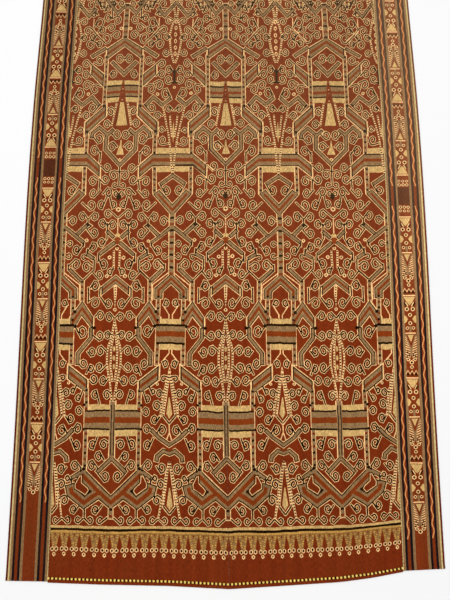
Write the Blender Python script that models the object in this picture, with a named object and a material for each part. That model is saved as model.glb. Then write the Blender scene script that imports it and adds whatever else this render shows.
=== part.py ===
"""A warp-ikat cotton blanket lying open, face up, as its cloth really lies.

Four woven pieces are sewn edge to edge: two wide patterned panels that meet on the centre seam,
and a narrow striped strip along each outer side. The cloth lies in the XY plane with its length
along Y, its width along X and its face up. The origin is under the middle of the blanket.

Every piece is first laid out straight, in "cut" coordinates. One pull, shared by all the pieces,
then draws them out of true: the sides bow, the ends climb towards the corners, the centre seam
drifts, and low swells lift the cloth a few millimetres off the surface.
"""

import math

import bmesh
import bpy

# Driving sizes, in metres
BLANKET_LENGTH = 2.300
PANEL_WIDTH = 0.485
STRIP_WIDTH = 0.115
CLOTH_THICKNESS = 0.0012
SEAM_GAP = 0.0003

# The end of a panel: a rolled hem, then a twined band that stands a little proud
HEM_DEPTH = 0.009
HEM_EXTRA = 0.0009
TWINING_WIDTH = 0.004
TWINING_EXTRA = 0.0006
EDGE_STEP = 0.001

# The strips are sewn on a little short of the panel ends
STRIP_SHORTFALL = 0.003

# How finely each piece is faceted
PANEL_COLUMNS = 12
STRIP_COLUMNS = 3
ROW_PITCH = 0.050

# The sides bow outwards round the middle and draw in towards the far end
BOW_WIDEN = 0.0180
BOW_HALF_LENGTH = 0.55
END_NARROW = 0.0025
FAR_NARROW = 0.0117
FAR_NARROW_START = 0.25
FAR_NARROW_END = 0.75

# The centre seam wanders to the right over the near third of the length
SEAM_DRIFT = 0.009
SEAM_DRIFT_START = -0.55

# Height of each end above its lowest point: (place across the cloth, near end, far end)
END_LIFT = (
    (-0.600, 0.0185, 0.0090),
    (-0.485, 0.0165, 0.0075),
    (-0.340, 0.0115, 0.0060),
    (-0.160, 0.0080, 0.0035),
    (0.000, 0.0000, 0.0000),
    (0.160, 0.0090, 0.0025),
    (0.310, 0.0180, 0.0055),
    (0.400, 0.0290, 0.0080),
    (0.485, 0.0440, 0.0105),
    (0.600, 0.0495, 0.0120),
)
LIFT_FADE = 0.24

# Low swells where the cloth stands off the surface:
# (centre x, centre y, half width, half length, turn in degrees, height)
SWELLS = (
    (0.020, -0.060, 0.110, 0.420, 4.0, 0.0042),
    (-0.300, -0.560, 0.120, 0.300, -12.0, 0.0030),
    (0.330, -0.700, 0.130, 0.260, 16.0, 0.0038),
    (-0.520, -0.180, 0.075, 0.240, 3.0, 0.0034),
    (0.545, -0.330, 0.070, 0.260, -4.0, 0.0036),
    (0.250, 0.420, 0.150, 0.280, -18.0, 0.0034),
    (-0.270, 0.330, 0.140, 0.260, 14.0, 0.0030),
    (0.070, 0.820, 0.130, 0.240, -6.0, 0.0036),
    (-0.430, 0.860, 0.120, 0.190, 20.0, 0.0028),
    (0.505, -1.010, 0.080, 0.110, 10.0, 0.0030),
    (-0.150, -0.985, 0.150, 0.090, 5.0, 0.0022),
)

# The mean dyed colour of each kind of piece (linear red, green, blue)
PANEL_COLOUR = (0.19, 0.030, 0.007)
STRIP_COLOUR = (0.16, 0.060, 0.022)
WOVEN_ROUGHNESS = 0.88


def clear_scene():
    """Removes whatever the file opened with."""
    for old in list(bpy.data.objects):
        bpy.data.objects.remove(old, do_unlink=True)


def ease(value, start, end):
    """Rises smoothly from 0 at start to 1 at end."""
    share = min(1.0, max(0.0, (value - start) / (end - start)))
    return share * share * (3.0 - 2.0 * share)


def end_lift(x, column):
    """Height of an end of the cloth above its lowest point, read along the END_LIFT rows."""
    for left, right in zip(END_LIFT, END_LIFT[1:]):
        if x <= right[0]:
            share = max(0.0, (x - left[0]) / (right[0] - left[0]))
            return left[column] + share * (right[column] - left[column])
    return END_LIFT[-1][column]


def pulled(x, y):
    """Where a point of the straight layout lies once the cloth is spread out."""
    half = BLANKET_LENGTH / 2
    near = end_lift(x, 1) * math.exp(-(y + half) / LIFT_FADE)
    far = end_lift(x, 2) * math.exp(-(half - y) / LIFT_FADE)
    bow = math.exp(-((y / BOW_HALF_LENGTH) ** 2))
    half_width = PANEL_WIDTH + STRIP_WIDTH
    widen = BOW_WIDEN * bow / 2 - END_NARROW / 2
    widen -= FAR_NARROW / 2 * ease(y, FAR_NARROW_START, FAR_NARROW_END)
    drift = SEAM_DRIFT * ease(-y, -SEAM_DRIFT_START, half) * max(0.0, 1.0 - abs(x) / PANEL_WIDTH)
    return x * (1.0 + widen / half_width) + drift, y + near - far


def swell_height(x, y):
    """How far the cloth stands off the surface at a point of the straight layout."""
    height = 0.0
    for centre_x, centre_y, half_width, half_length, turn, rise in SWELLS:
        angle = math.radians(turn)
        across = (x - centre_x) * math.cos(angle) + (y - centre_y) * math.sin(angle)
        along = (y - centre_y) * math.cos(angle) - (x - centre_x) * math.sin(angle)
        inside = 1.0 - (across / half_width) ** 2 - (along / half_length) ** 2
        if inside > 0.0:
            height += rise * inside * inside
    return height


def stations(start, end, count):
    """Evenly spaced values from start to end, both included."""
    return [start + (end - start) * i / count for i in range(count + 1)]


def row_stations(shortfall, band_depth):
    """Places of the rows along the length, closer together where the hem and its band step up."""
    half = BLANKET_LENGTH / 2 - shortfall
    steps = [0.0, HEM_DEPTH, HEM_DEPTH + EDGE_STEP]
    if band_depth:
        steps += [HEM_DEPTH + EDGE_STEP + band_depth, HEM_DEPTH + 2 * EDGE_STEP + band_depth]
    inner = half - steps[-1]
    middle = stations(-inner, inner, round(2 * inner / ROW_PITCH))
    return [s - half for s in steps[:-1]] + middle + [half - s for s in reversed(steps[:-1])]


def thickness_at(from_end, band_depth):
    """Cloth thickness a given distance in from its end: hem, then twined band, then plain."""
    if from_end <= HEM_DEPTH + EDGE_STEP / 2:
        return CLOTH_THICKNESS + HEM_EXTRA
    if from_end <= HEM_DEPTH + EDGE_STEP * 1.5 + band_depth and band_depth:
        return CLOTH_THICKNESS + TWINING_EXTRA
    return CLOTH_THICKNESS


def woven_piece(name, left, right, columns, shortfall, band_depth, material):
    """One woven piece as a closed solid: an upper and a lower grid of points, joined round the rim."""
    half = BLANKET_LENGTH / 2 - shortfall
    across = stations(left, right, columns)
    along = row_stations(shortfall, band_depth)
    mesh = bmesh.new()
    lower, upper = [], []
    for y in along:
        thickness = thickness_at(half - abs(y), band_depth)
        lower_row, upper_row = [], []
        for x in across:
            place_x, place_y = pulled(x, y)
            base = swell_height(x, y)
            lower_row.append(mesh.verts.new((place_x, place_y, base)))
            upper_row.append(mesh.verts.new((place_x, place_y, base + thickness)))
        lower.append(lower_row)
        upper.append(upper_row)
    last_row, last_column = len(along) - 1, len(across) - 1
    for i in range(last_row):
        for j in range(last_column):
            mesh.faces.new((upper[i][j], upper[i][j + 1], upper[i + 1][j + 1], upper[i + 1][j]))
            mesh.faces.new((lower[i][j], lower[i + 1][j], lower[i + 1][j + 1], lower[i][j + 1]))
        mesh.faces.new((lower[i][0], upper[i][0], upper[i + 1][0], lower[i + 1][0]))
        mesh.faces.new(
            (lower[i][last_column], lower[i + 1][last_column], upper[i + 1][last_column], upper[i][last_column])
        )
    for j in range(last_column):
        mesh.faces.new((lower[0][j], lower[0][j + 1], upper[0][j + 1], upper[0][j]))
        mesh.faces.new(
            (lower[last_row][j], upper[last_row][j], upper[last_row][j + 1], lower[last_row][j + 1])
        )
    bmesh.ops.triangulate(mesh, faces=mesh.faces[:])
    data = bpy.data.meshes.new(name)
    mesh.to_mesh(data)
    mesh.free()
    data.shade_smooth()
    data.materials.append(material)
    piece = bpy.data.objects.new(name, data)
    bpy.context.scene.collection.objects.link(piece)
    return piece


def dyed_cotton(name, colour):
    """Matt handspun cotton in one ground colour."""
    material = bpy.data.materials.new(name)
    material.use_nodes = True
    shader = material.node_tree.nodes["Principled BSDF"]
    shader.inputs["Base Color"].default_value = (*colour, 1.0)
    shader.inputs["Roughness"].default_value = WOVEN_ROUGHNESS
    shader.inputs["Metallic"].default_value = 0.0
    return material


def panels(material):
    """The two patterned panels, one each side of the centre seam."""
    inner, outer = SEAM_GAP / 2, PANEL_WIDTH - SEAM_GAP / 2
    woven_piece("panel_left", -outer, -inner, PANEL_COLUMNS, 0.0, TWINING_WIDTH, material)
    woven_piece("panel_right", inner, outer, PANEL_COLUMNS, 0.0, TWINING_WIDTH, material)


def strips(material):
    """The striped strips sewn to the outer side of each panel."""
    inner, outer = PANEL_WIDTH + SEAM_GAP / 2, PANEL_WIDTH + STRIP_WIDTH
    woven_piece("strip_left", -outer, -inner, STRIP_COLUMNS, STRIP_SHORTFALL, 0.0, material)
    woven_piece("strip_right", inner, outer, STRIP_COLUMNS, STRIP_SHORTFALL, 0.0, material)


def main():
    """Builds the four pieces of the blanket."""
    clear_scene()
    panels(dyed_cotton("panel_cotton", PANEL_COLOUR))
    strips(dyed_cotton("strip_cotton", STRIP_COLOUR))


main()
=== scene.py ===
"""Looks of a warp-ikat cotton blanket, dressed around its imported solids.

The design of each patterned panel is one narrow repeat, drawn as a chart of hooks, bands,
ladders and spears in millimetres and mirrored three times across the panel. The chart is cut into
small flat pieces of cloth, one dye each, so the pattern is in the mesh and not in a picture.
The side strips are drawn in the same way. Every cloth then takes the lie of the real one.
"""

import logging
import math
from dataclasses import dataclass, field, replace
from enum import Enum, IntEnum
from functools import partial

import bpy
import numpy as np
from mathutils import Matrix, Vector
from mathutils.geometry import delaunay_2d_cdt


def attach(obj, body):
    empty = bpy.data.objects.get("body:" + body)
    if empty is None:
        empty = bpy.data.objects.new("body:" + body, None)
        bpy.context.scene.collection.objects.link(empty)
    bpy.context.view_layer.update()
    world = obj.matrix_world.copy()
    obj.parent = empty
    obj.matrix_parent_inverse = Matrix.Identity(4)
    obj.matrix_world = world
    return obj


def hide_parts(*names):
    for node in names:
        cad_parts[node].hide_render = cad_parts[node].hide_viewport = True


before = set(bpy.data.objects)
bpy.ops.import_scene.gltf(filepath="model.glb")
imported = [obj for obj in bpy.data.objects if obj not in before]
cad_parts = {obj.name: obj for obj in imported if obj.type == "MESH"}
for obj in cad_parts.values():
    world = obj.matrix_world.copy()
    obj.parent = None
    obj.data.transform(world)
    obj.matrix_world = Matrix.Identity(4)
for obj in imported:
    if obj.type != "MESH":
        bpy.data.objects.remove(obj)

log = logging.getLogger("ikat_blanket")

MM = 0.001
Point = tuple[float, float]
Line = tuple[Point, ...]
Points = Line | list[Point] | np.ndarray
Material = bpy.types.Material


def linear(hex_colour: str) -> tuple[float, float, float, float]:
    """Turns an sRGB hex colour into the linear colour that a shader reads.

    Args:
        hex_colour: Six hex digits after a hash sign.

    Returns:
        Linear red, green, blue, and an alpha of one.
    """
    values = [int(hex_colour[i : i + 2], 16) / 255 for i in (1, 3, 5)]
    curve = [v / 12.92 if v <= 0.04045 else ((v + 0.055) / 1.055) ** 2.4 for v in values]
    return (*curve, 1.0)


class Dye(Enum):
    """The colours that the yarn was tied and dyed to, or bought in."""

    RED = "#75290D"
    CREAM = "#F3C183"
    PALE = "#CEA768"
    RUST = "#7F340F"
    BROWN = "#8E6E49"
    BLACK = "#0D0400"
    MOTTLE = "#926733"
    FLECK = "#C2934C"
    WELD = "#E0A52E"
    STRIP_RED = "#742D10"
    INK = "#050A12"
    TAN = "#8A6844"
    STRAW = "#CDB57A"
    OCHRE = "#CF8850"
    MAROON = "#5A150A"
    BLOCK = "#4A1E10"


class Layer(IntEnum):
    """What covers what where two shapes of the chart overlap."""

    EDGE = 1
    CORE = 2
    BODY = 3
    HEART = 4
    SPOT = 5
    CROWN = 6
    EYE = 7


class Band(Enum):
    """Kinds of line in the chart: the layer, dye and width in millimetres of each stroke in them."""

    HOOK = ((Layer.EDGE, Dye.CREAM, 7.2), (Layer.CORE, Dye.BLACK, 4.0))
    LINE = ((Layer.EDGE, Dye.CREAM, 7.6), (Layer.CORE, Dye.BLACK, 4.1))
    THREAD = ((Layer.EDGE, Dye.CREAM, 3.0),)
    ROPE = ((Layer.EDGE, Dye.CREAM, 5.7),)
    CORD = ((Layer.CROWN, Dye.CREAM, 5.1),)
    GREY = ((Layer.EDGE, Dye.CREAM, 15.9), (Layer.CORE, Dye.BLACK, 12.4), (Layer.BODY, Dye.BROWN, 6.8))
    THICK = (
        (Layer.EDGE, Dye.CREAM, 28.4),
        (Layer.CORE, Dye.BLACK, 24.6),
        (Layer.BODY, Dye.BROWN, 19.0),
        (Layer.HEART, Dye.RUST, 6.8),
    )
    BROAD = (
        (Layer.EDGE, Dye.CREAM, 35.4),
        (Layer.CORE, Dye.BLACK, 31.4),
        (Layer.BODY, Dye.BROWN, 25.0),
        (Layer.HEART, Dye.RUST, 11.0),
    )
    POST = ((Layer.EDGE, Dye.CREAM, 14.0), (Layer.BODY, Dye.BROWN, 9.4))
    PILLAR = ((Layer.EDGE, Dye.CREAM, 19.2), (Layer.BODY, Dye.BROWN, 14.6))
    SNAKE = ((Layer.EDGE, Dye.OCHRE, 3.4),)


# The layers of a broad band that is cut off upright at its ends: the layer and dye of each, where
# it starts and ends between the band's two edges, and how far it passes the ends in millimetres
GIRDER = (
    (Layer.EDGE, Dye.CREAM, -0.09, 1.09, 4.0),
    (Layer.CORE, Dye.BLACK, 0.0, 1.0, 0.0),
    (Layer.BODY, Dye.BROWN, 0.09, 0.90, -3.6),
    (Layer.HEART, Dye.RUST, 0.37, 0.62, -4.0),
)


class Spots(Enum):
    """Rows of spots along a line: the dyes in turn, and pitch, length and width in millimetres."""

    LADDER = ((Dye.BLACK,), 7.8, 3.8, 5.2)
    BLOCKS = ((Dye.BLACK, Dye.RED), 17.4, 7.2, 8.2)
    PAIRS = ((Dye.BLACK, Dye.RUST), 19.4, 7.6, 14.6)
    TEETH = ((Dye.BLACK,), 5.6, 2.6, 4.6)
    WEDGE = ((Dye.CREAM, Dye.BLACK, Dye.BROWN), 12.6, 2.4, 5.0)


@dataclass(frozen=True)
class Patch:
    """One shape of the chart in one dye.

    Args:
        layer: What it covers.
        dye: Its colour.
        rim: A closed loop of points that the cloth is cut along.
        cells: Simple polygons that together say what it covers.
        fine: Whether it is too small to show on the underside.
    """

    layer: Layer
    dye: Dye
    rim: np.ndarray
    cells: tuple[np.ndarray, ...]
    fine: bool = False

    def flipped(self, length: float) -> "Patch":
        """Returns the patch turned end for end in a cloth of this length."""
        turned = [np.array([0.0, length]) + shape * [1.0, -1.0] for shape in (self.rim, *self.cells)]
        return replace(self, rim=turned[0], cells=tuple(turned[1:]))


def inside(polygon: np.ndarray, points: np.ndarray) -> np.ndarray:
    """Finds the points that lie in a simple polygon.

    Args:
        polygon: Corners in order, one row each.
        points: Places to test, one row each.

    Returns:
        True for each point that the polygon covers.
    """
    found = np.zeros(len(points), bool)
    for (ax, ay), (bx, by) in zip(polygon, np.roll(polygon, -1, axis=0)):
        spans = (ay > points[:, 1]) != (by > points[:, 1])
        if ay != by:
            found ^= spans & (points[:, 0] < (bx - ax) * (points[:, 1] - ay) / (by - ay) + ax)
    return found


def sides(points: np.ndarray, width: float, reach: float = 1.9) -> tuple[np.ndarray, np.ndarray]:
    """Works out the two mitred sides of a stroke.

    Args:
        points: The stroke's centre line.
        width: Its full width.
        reach: Longest mitre, in half widths.

    Returns:
        The left and the right side, a point for each point of the centre line.
    """
    steps = np.diff(points, axis=0)
    steps /= np.linalg.norm(steps, axis=1, keepdims=True)
    normals = np.stack([-steps[:, 1], steps[:, 0]], axis=1)
    before = np.vstack([normals[:1], normals])
    after = np.vstack([normals, normals[-1:]])
    mitre = before + after
    mitre /= np.maximum(np.linalg.norm(mitre, axis=1, keepdims=True), 1e-6)
    share = np.maximum((mitre * before).sum(axis=1, keepdims=True), 1 / reach)
    offset = mitre * (width / 2) / share
    return points + offset, points - offset


def along(points: np.ndarray, start: float, pitch: float) -> list[tuple[np.ndarray, np.ndarray]]:
    """Walks a line and stops at even steps.

    Args:
        points: The line.
        start: How far along the first stop is.
        pitch: Distance between stops.

    Returns:
        Each stop's place and the line's direction there.
    """
    stops = []
    walked, due = 0.0, start
    for first, second in zip(points, points[1:]):
        length = float(np.linalg.norm(second - first))
        heading = (second - first) / length
        while due <= walked + length:
            stops.append((first + heading * (due - walked), heading))
            due += pitch
        walked += length
    return stops


# A hook's line for a size of 1, from the top of its curl inwards. Its stem comes in from the left.
CURL = (
    (-0.14, 0.99), (0.46, 0.78), (0.76, 0.10), (0.50, -0.66), (-0.02, -0.97),
    (-0.48, -0.60), (-0.48, -0.04), (-0.10, 0.28),
)
SMALL_HOOK = 9.5
SMALL_CURL_POINTS = 6
CURL_EYE = (2.4, 2.8)

# Corners of a tied spot that stands on a point, and of one in a row, in half lengths and half widths
GEM = ((0, 1), (1, 0.42), (1, -0.42), (0, -1), (-1, -0.42), (-1, 0.42))
TIE = ((0.9, 0.7), (-0.2, 1.0), (-1.0, 0.5), (-1.0, -0.6), (0.1, -1.0), (1.0, -0.6))

# Shapes under this size, and lines under this width, are left off the underside
FINE_SPOT = 7.0
FINE_LINE = 3.8

# How finely a long level edge is cut, so that each bundle of warp can stray by itself,
# and a long upright edge, so that it can bend with the cloth
RAGGED_STEP = 5.0
SELVEDGE_STEP = 20.0


def both(half: Line) -> list[Point]:
    """Returns a whole outline from its right side, which the left side mirrors."""
    return [(-x, y) for x, y in half] + [(x, y) for x, y in reversed(half)]


@dataclass
class Chart:
    """A drawn chart of one cloth or one repeat of it, in millimetres.

    Args:
        width: Across the chart.
        length: Along the warp.
        ground: The dye of bare cloth.
        patches: What has been drawn so far.
    """

    width: float
    length: float
    ground: Dye
    patches: list[Patch] = field(default_factory=list)

    def fill(self, layer: Layer, dye: Dye, outline: Points) -> None:
        """Draws one filled shape."""
        shape = np.array(outline, float)
        self.patches.append(Patch(layer, dye, shape, (shape,), np.ptp(shape, axis=0).max() < FINE_SPOT))

    def shapes(self, rows: tuple[tuple[Layer, Dye, Points], ...], at: float = 0.0) -> None:
        """Draws filled shapes, each a layer, a dye and an outline, counted across from one place."""
        for layer, dye, outline in rows:
            self.fill(layer, dye, [(at + x, y) for x, y in outline])

    def gem(self, layer: Layer, dye: Dye, centre: Point, across: float, ahead: float) -> None:
        """Draws a six-sided spot that stands on a point, as tied spots do, from its half sizes."""
        self.fill(layer, dye, [(centre[0] + across * a, centre[1] + ahead * b) for a, b in GEM])

    def gems(self, rows: tuple[tuple[Layer, Dye, Point, float, float], ...], at: float = 0.0) -> None:
        """Draws six-sided spots, counted across from one place."""
        for layer, dye, (x, y), across, ahead in rows:
            self.gem(layer, dye, (at + x, y), across, ahead)

    def ring(self, x: float, y: float, size: float, tall: float = 1.2, eye: Point = (0.42, 0.5)) -> None:
        """Draws a small ring with a dark eye, both taller than they are wide."""
        self.gem(Layer.CROWN, Dye.CREAM, (x, y), size, size * tall)
        self.gem(Layer.EYE, Dye.BLACK, (x, y), size * eye[0], size * eye[1])

    def blot(self, x: float, y: float, across: float, ahead: float) -> None:
        """Draws a dark blot where lines meet."""
        self.gem(Layer.CROWN, Dye.BLACK, (x, y), across, ahead)

    def box(self, layer: Layer, dye: Dye, low: Point, high: Point) -> None:
        """Draws an upright rectangle, with its edges finely cut.

        Args:
            layer: What it covers.
            dye: Its colour.
            low: Its near left corner.
            high: Its far right corner.
        """
        across, ahead = (
            np.linspace(first, last, max(1, round((last - first) / step)) + 1)
            for first, last, step in zip(low, high, (RAGGED_STEP, SELVEDGE_STEP))
        )
        outline = [(x, low[1]) for x in across] + [(high[0], y) for y in ahead[1:-1]]
        outline += [(x, high[1]) for x in across[::-1]] + [(low[0], y) for y in ahead[-2:0:-1]]
        self.fill(layer, dye, outline)

    def ribbon(self, layer: Layer, dye: Dye, left: np.ndarray, right: np.ndarray, fine: bool) -> None:
        """Draws the cloth between two edges that run side by side."""
        cells = tuple(np.array(four) for four in zip(left[:-1], right[:-1], right[1:], left[1:]))
        self.patches.append(Patch(layer, dye, np.vstack([left, right[::-1]]), cells, fine))

    def stroke(self, band: Band, points: Points) -> None:
        """Draws a line, each wider stroke of it a little further past its ends.

        Args:
            band: Its kind.
            points: Its centre line.
        """
        centre = np.array(points, float)
        ends = (centre[0] - centre[1], centre[-1] - centre[-2])
        narrow = band.value[-1][2]
        for layer, dye, width in band.value:
            line = centre.copy()
            for end, way in zip((0, -1), ends):
                line[end] += way / np.linalg.norm(way) * (width - narrow) / 2
            self.ribbon(layer, dye, *sides(line, width), width < FINE_LINE)

    def girder(self, near: Line, far: Line) -> None:
        """Draws a broad band that is cut off upright at both ends.

        Args:
            near: Its near edge.
            far: Its far edge.
        """
        low, high = np.array(near, float), np.array(far, float)
        for layer, dye, first, last, spare in GIRDER:
            edges = [low + (high - low) * share for share in (first, last)]
            for line in edges:
                for end, beside in ((0, 1), (-1, -2)):
                    step = line[end] - line[beside]
                    line[end] += step / abs(step[0]) * spare
            self.ribbon(layer, dye, *edges, False)

    def pocket(self, loop: Line, dye: Dye, edge: float, rim: float) -> None:
        """Draws a small red room in a band, with a pale edge and a dark one round it.

        Args:
            loop: Its corners, anticlockwise.
            dye: The dye inside.
            edge: Width of the pale edge.
            rim: Width of both edges.
        """
        closed = np.array([loop[-1], *loop, loop[0]], float)
        for colour, width in ((Dye.BLACK, rim), (Dye.CREAM, edge)):
            self.fill(Layer.CROWN, colour, sides(closed, 2 * width)[1][1:-1])
        self.fill(Layer.EYE, dye, loop)

    def spots(self, kind: Spots, points: Points, start: float = 3.0, layer: Layer = Layer.SPOT) -> None:
        """Draws a row of spots along a line.

        Args:
            kind: Their dyes, pitch and size.
            points: The line.
            start: How far along the first one is.
            layer: What they cover.
        """
        dyes, pitch, length, width = kind.value
        for i, (place, heading) in enumerate(along(np.array(points, float), start, pitch)):
            across = np.array([-heading[1], heading[0]]) * width / 2
            ahead = heading * length / 2
            self.fill(layer, dyes[i % len(dyes)], [place + ahead * a + across * b for a, b in TIE])

    def rope(self, *points: Point) -> None:
        """Draws a dotted line: cream, with dark ties along it."""
        self.stroke(Band.ROPE, points)
        self.spots(Spots.LADDER, points)

    def cord(self, *points: Point) -> None:
        """Draws a dotted line that passes over bands and bars."""
        self.stroke(Band.CORD, points)
        self.spots(Spots.LADDER, points, layer=Layer.EYE)

    def post(self, *points: Point) -> None:
        """Draws a post with black and red blocks in turn."""
        self.stroke(Band.POST, points)
        self.spots(Spots.BLOCKS, points, start=6.0)

    def pillar(self, x: float, far: float, near: float, start: float) -> None:
        """Draws an upright pillar with spots of two dyes in turn."""
        self.stroke(Band.PILLAR, [(x, far), (x, near)])
        self.spots(Spots.PAIRS, [(x, far), (x, near)], start)

    def hook(self, x: float, y: float, size: float, stem_x: float, stem_y: float, rise: int) -> None:
        """Draws a curled hook.

        Args:
            x: Place of its middle across.
            y: Place of its middle along.
            size: Half its height.
            stem_x: Where its stem starts across, counted from its middle.
            stem_y: Where its stem starts along, counted from its middle.
            rise: 1 if it curls over its far side, -1 if under its near side.
        """
        hand = -1.0 if stem_x > 0 else 1.0
        curl = CURL if size > SMALL_HOOK else CURL[:SMALL_CURL_POINTS]
        points = [(x + stem_x, y + stem_y)] + [(x + hand * size * a, y + rise * size * b) for a, b in curl]
        self.stroke(Band.HOOK, points)
        self.gem(Layer.EYE, Dye.BLACK, points[-1], *CURL_EYE)

    def bars(self, span: Point, inner: Point, low: float, widths: tuple[float, ...]) -> None:
        """Draws a stack of level bars, from the near one up.

        Args:
            span: Where the dark bars start and end across.
            inner: Where the pale bars start and end across.
            low: Where the nearest bar starts along.
            widths: Depth of the pale, black, brown, red, brown, black and pale bars.
        """
        dyes = (Dye.PALE, Dye.BLACK, Dye.BROWN, Dye.RUST, Dye.BROWN, Dye.BLACK, Dye.PALE)
        for dye, width in zip(dyes, widths):
            layer, (left, right) = (Layer.HEART, inner) if dye is Dye.PALE else (Layer.SPOT, span)
            self.box(layer, dye, (left, low), (right, low + width))
            low += width

    def take(self, other: "Chart", turned: bool = False) -> None:
        """Adds another chart's shapes, turned end for end if asked."""
        self.patches += [p.flipped(self.length) if turned else p for p in other.patches]

    def plainer(self) -> "Chart":
        """Returns the chart without its finest shapes, for the underside."""
        return replace(self, patches=[p for p in self.patches if not p.fine])


# Rows of the hook tables: place across, place along, size, stem start from that place, rise
HookRow = tuple[float, float, float, float, float, int]


@dataclass(frozen=True)
class Figure:
    """One figure of the repeat, between the axis of the centre seam and the axis of the spears.

    Args:
        name: What it is called in the log.
        hooks: Its curled hooks.
        bands: Its lines, each a kind and its points.
        girders: Its broad bands with upright ends: the near and the far edge of each.
        ropes: Its dotted lines.
        cords: Its dotted lines that pass over bands and bars.
        posts: Its blocked posts.
        rings: Its small rings: place across, place along, size.
        blots: Its dark blots: place across, place along, half width, half length.
    """

    name: str
    hooks: tuple[HookRow, ...] = ()
    bands: tuple[tuple[Band, Line], ...] = ()
    girders: tuple[tuple[Line, Line], ...] = ()
    ropes: tuple[Line, ...] = ()
    cords: tuple[Line, ...] = ()
    posts: tuple[Line, ...] = ()
    rings: tuple[tuple[float, float, float], ...] = ()
    blots: tuple[tuple[float, float, float, float], ...] = ()

    def draw(self, chart: Chart) -> None:
        """Draws the figure.

        Args:
            chart: Where to draw it.
        """
        kinds = (
            (chart.stroke, self.bands), (chart.girder, self.girders), (chart.rope, self.ropes),
            (chart.cord, self.cords), (chart.post, self.posts), (chart.hook, self.hooks),
            (chart.ring, self.rings), (chart.blot, self.blots),
        )
        for drawn, rows in kinds:
            for row in rows:
                drawn(*row)
        log.info("charted %s: %d hooks, %d bands", self.name, len(self.hooks), len(self.bands))


FOOT = Figure(
    "foot",
    hooks=(
        (28, 172, 8.8, -20, 8, -1), (54, 172, 8.8, 17, 7, -1), (87, 172, 8.8, -15, 6, -1),
        (115, 172, 8.8, 15, 5, -1), (148, 171, 8.8, -16, 5, -1), (41, 201, 11.0, -17, 12, -1),
        (100, 202, 11.0, -15, 10, -1), (126, 229, 11.8, 15, 3, 1), (137, 272, 11.8, 12, 6, 1),
        (121, 287, 7.0, -11, -8, 1), (17, 291, 12.3, 20, 8, -1), (140, 313, 12.8, -15, 6, -1),
        (102, 322, 12.4, -15, -5, 1), (55, 323, 11.8, -16, -8, 1), (36, 347, 12.0, -16, -10, 1),
        (101, 377, 12.4, 16, 20, -1), (55, 379, 12.8, -13, 22, -1), (24, 381, 11.4, -13, 5, 1),
        (142, 419, 12.8, -14, -9, 1), (99, 423, 11.8, 15, -6, 1), (121, 448, 11.4, 14, 9, -1),
        (96, 471, 11.4, -10, 2, 1), (128, 489, 12.2, 12, 2, 1), (99, 508, 9.6, -12, 22, -1),
        (51, 518, 12.2, -13, -29, 1), (18, 519, 11.2, -12, 2, 1),
    ),
    bands=(
        (Band.BROAD, ((-12, 231), (0, 221), (12, 231), (82, 297))),
        (Band.BROAD, ((31, 249), (50, 237), (72, 221), (106, 248), (110, 262))),
        (Band.GREY, ((86, 303), (108, 288))),
        (Band.LINE, ((109, 290), (109, 252))),
        (Band.LINE, ((70, 206), (70, 180))),
        (Band.LINE, ((86, 319), (86, 303))),
        (Band.GREY, ((0, 342), (39, 303))),
        (Band.LINE, ((38, 300), (39, 316))),
        (Band.GREY, ((113, 418), (132, 398), (162, 378), (180, 390))),
        (Band.GREY, ((126, 334), (128, 346), (146, 362), (162, 355), (178, 362))),
        (Band.THREAD, ((162, 436), (162, 413), (154, 390))),
    ),
    ropes=(
        ((163, 332), (154, 302), (147, 262), (132, 176)),
        ((148, 536), (142, 500), (137, 457)),
    ),
    posts=(((1, 208), (1, 178)), ((76, 536), (75, 305))),
    blots=((57, 252, 4.6, 4.6), (82, 489, 4.0, 4.0), (82, 421, 4.0, 4.0), (78, 313, 5.0, 5.0)),
)

LENS = Figure(
    "lens and roof",
    hooks=(
        (134, 524, 10.6, 13, -2, 1), (115, 529, 7.4, -10, 16, -1), (30, 559, 12.0, -16, 8, -1),
        (57, 562, 12.2, 13, -2, -1), (66, 594, 10.8, 13, -17, 1),
        (41, 597, 12.6, -21, 7, -1), (88, 607, 12.4, 17, 3, -1), (65, 643, 12.6, 13, 3, -1),
        (39, 647, 12.6, -18, -3, 1), (43, 689, 12.2, 20, 3, -1), (20, 693, 10.6, -11, -1, 1),
        (95, 702, 15.6, 21, 17, -1), (16, 747, 11.8, -16, -6, 1), (43, 750, 12.4, 15, -4, 1),
        (20, 786, 12.8, 24, 20, -1), (60, 789, 14.4, 18, 4, 1), (148, 787, 9.4, -8, -7, 1),
        (148, 609, 9.4, -8, 7, -1), (145, 567, 7.0, 12, 4, 1),
    ),
    bands=(
        (Band.GREY, ((69, 712), (69, 684), (105, 638), (105, 606))),
        (Band.THREAD, ((157, 738), (157, 752), (140, 780))),
        (Band.THREAD, ((158, 650), (158, 638), (140, 616))),
        (Band.LINE, ((80, 834), (80, 788))),
    ),
    girders=(
        (((64, 707), (98, 749), (131, 690)), ((64, 745), (98, 794), (131, 745))),
        (((74, 521), (131, 563)), ((74, 560), (131, 604))),
    ),
    ropes=(
        ((0, 736), (9, 682), (16, 662), (20, 641), (20, 610), (16, 585), (11, 559), (5, 520), (4, 500)),
        ((3, 694), (9, 652), (9, 600), (3, 556)),
        ((162, 580), (154, 561), (148, 519)),
    ),
    posts=(((125, 812), (124, 606)),),
    rings=((128, 551, 4.2), (0, 768, 5.0)),
    blots=((60, 713, 5.0, 5.6), (119, 760, 5.0, 5.6), (115, 719, 5.0, 5.6)),
)

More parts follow.
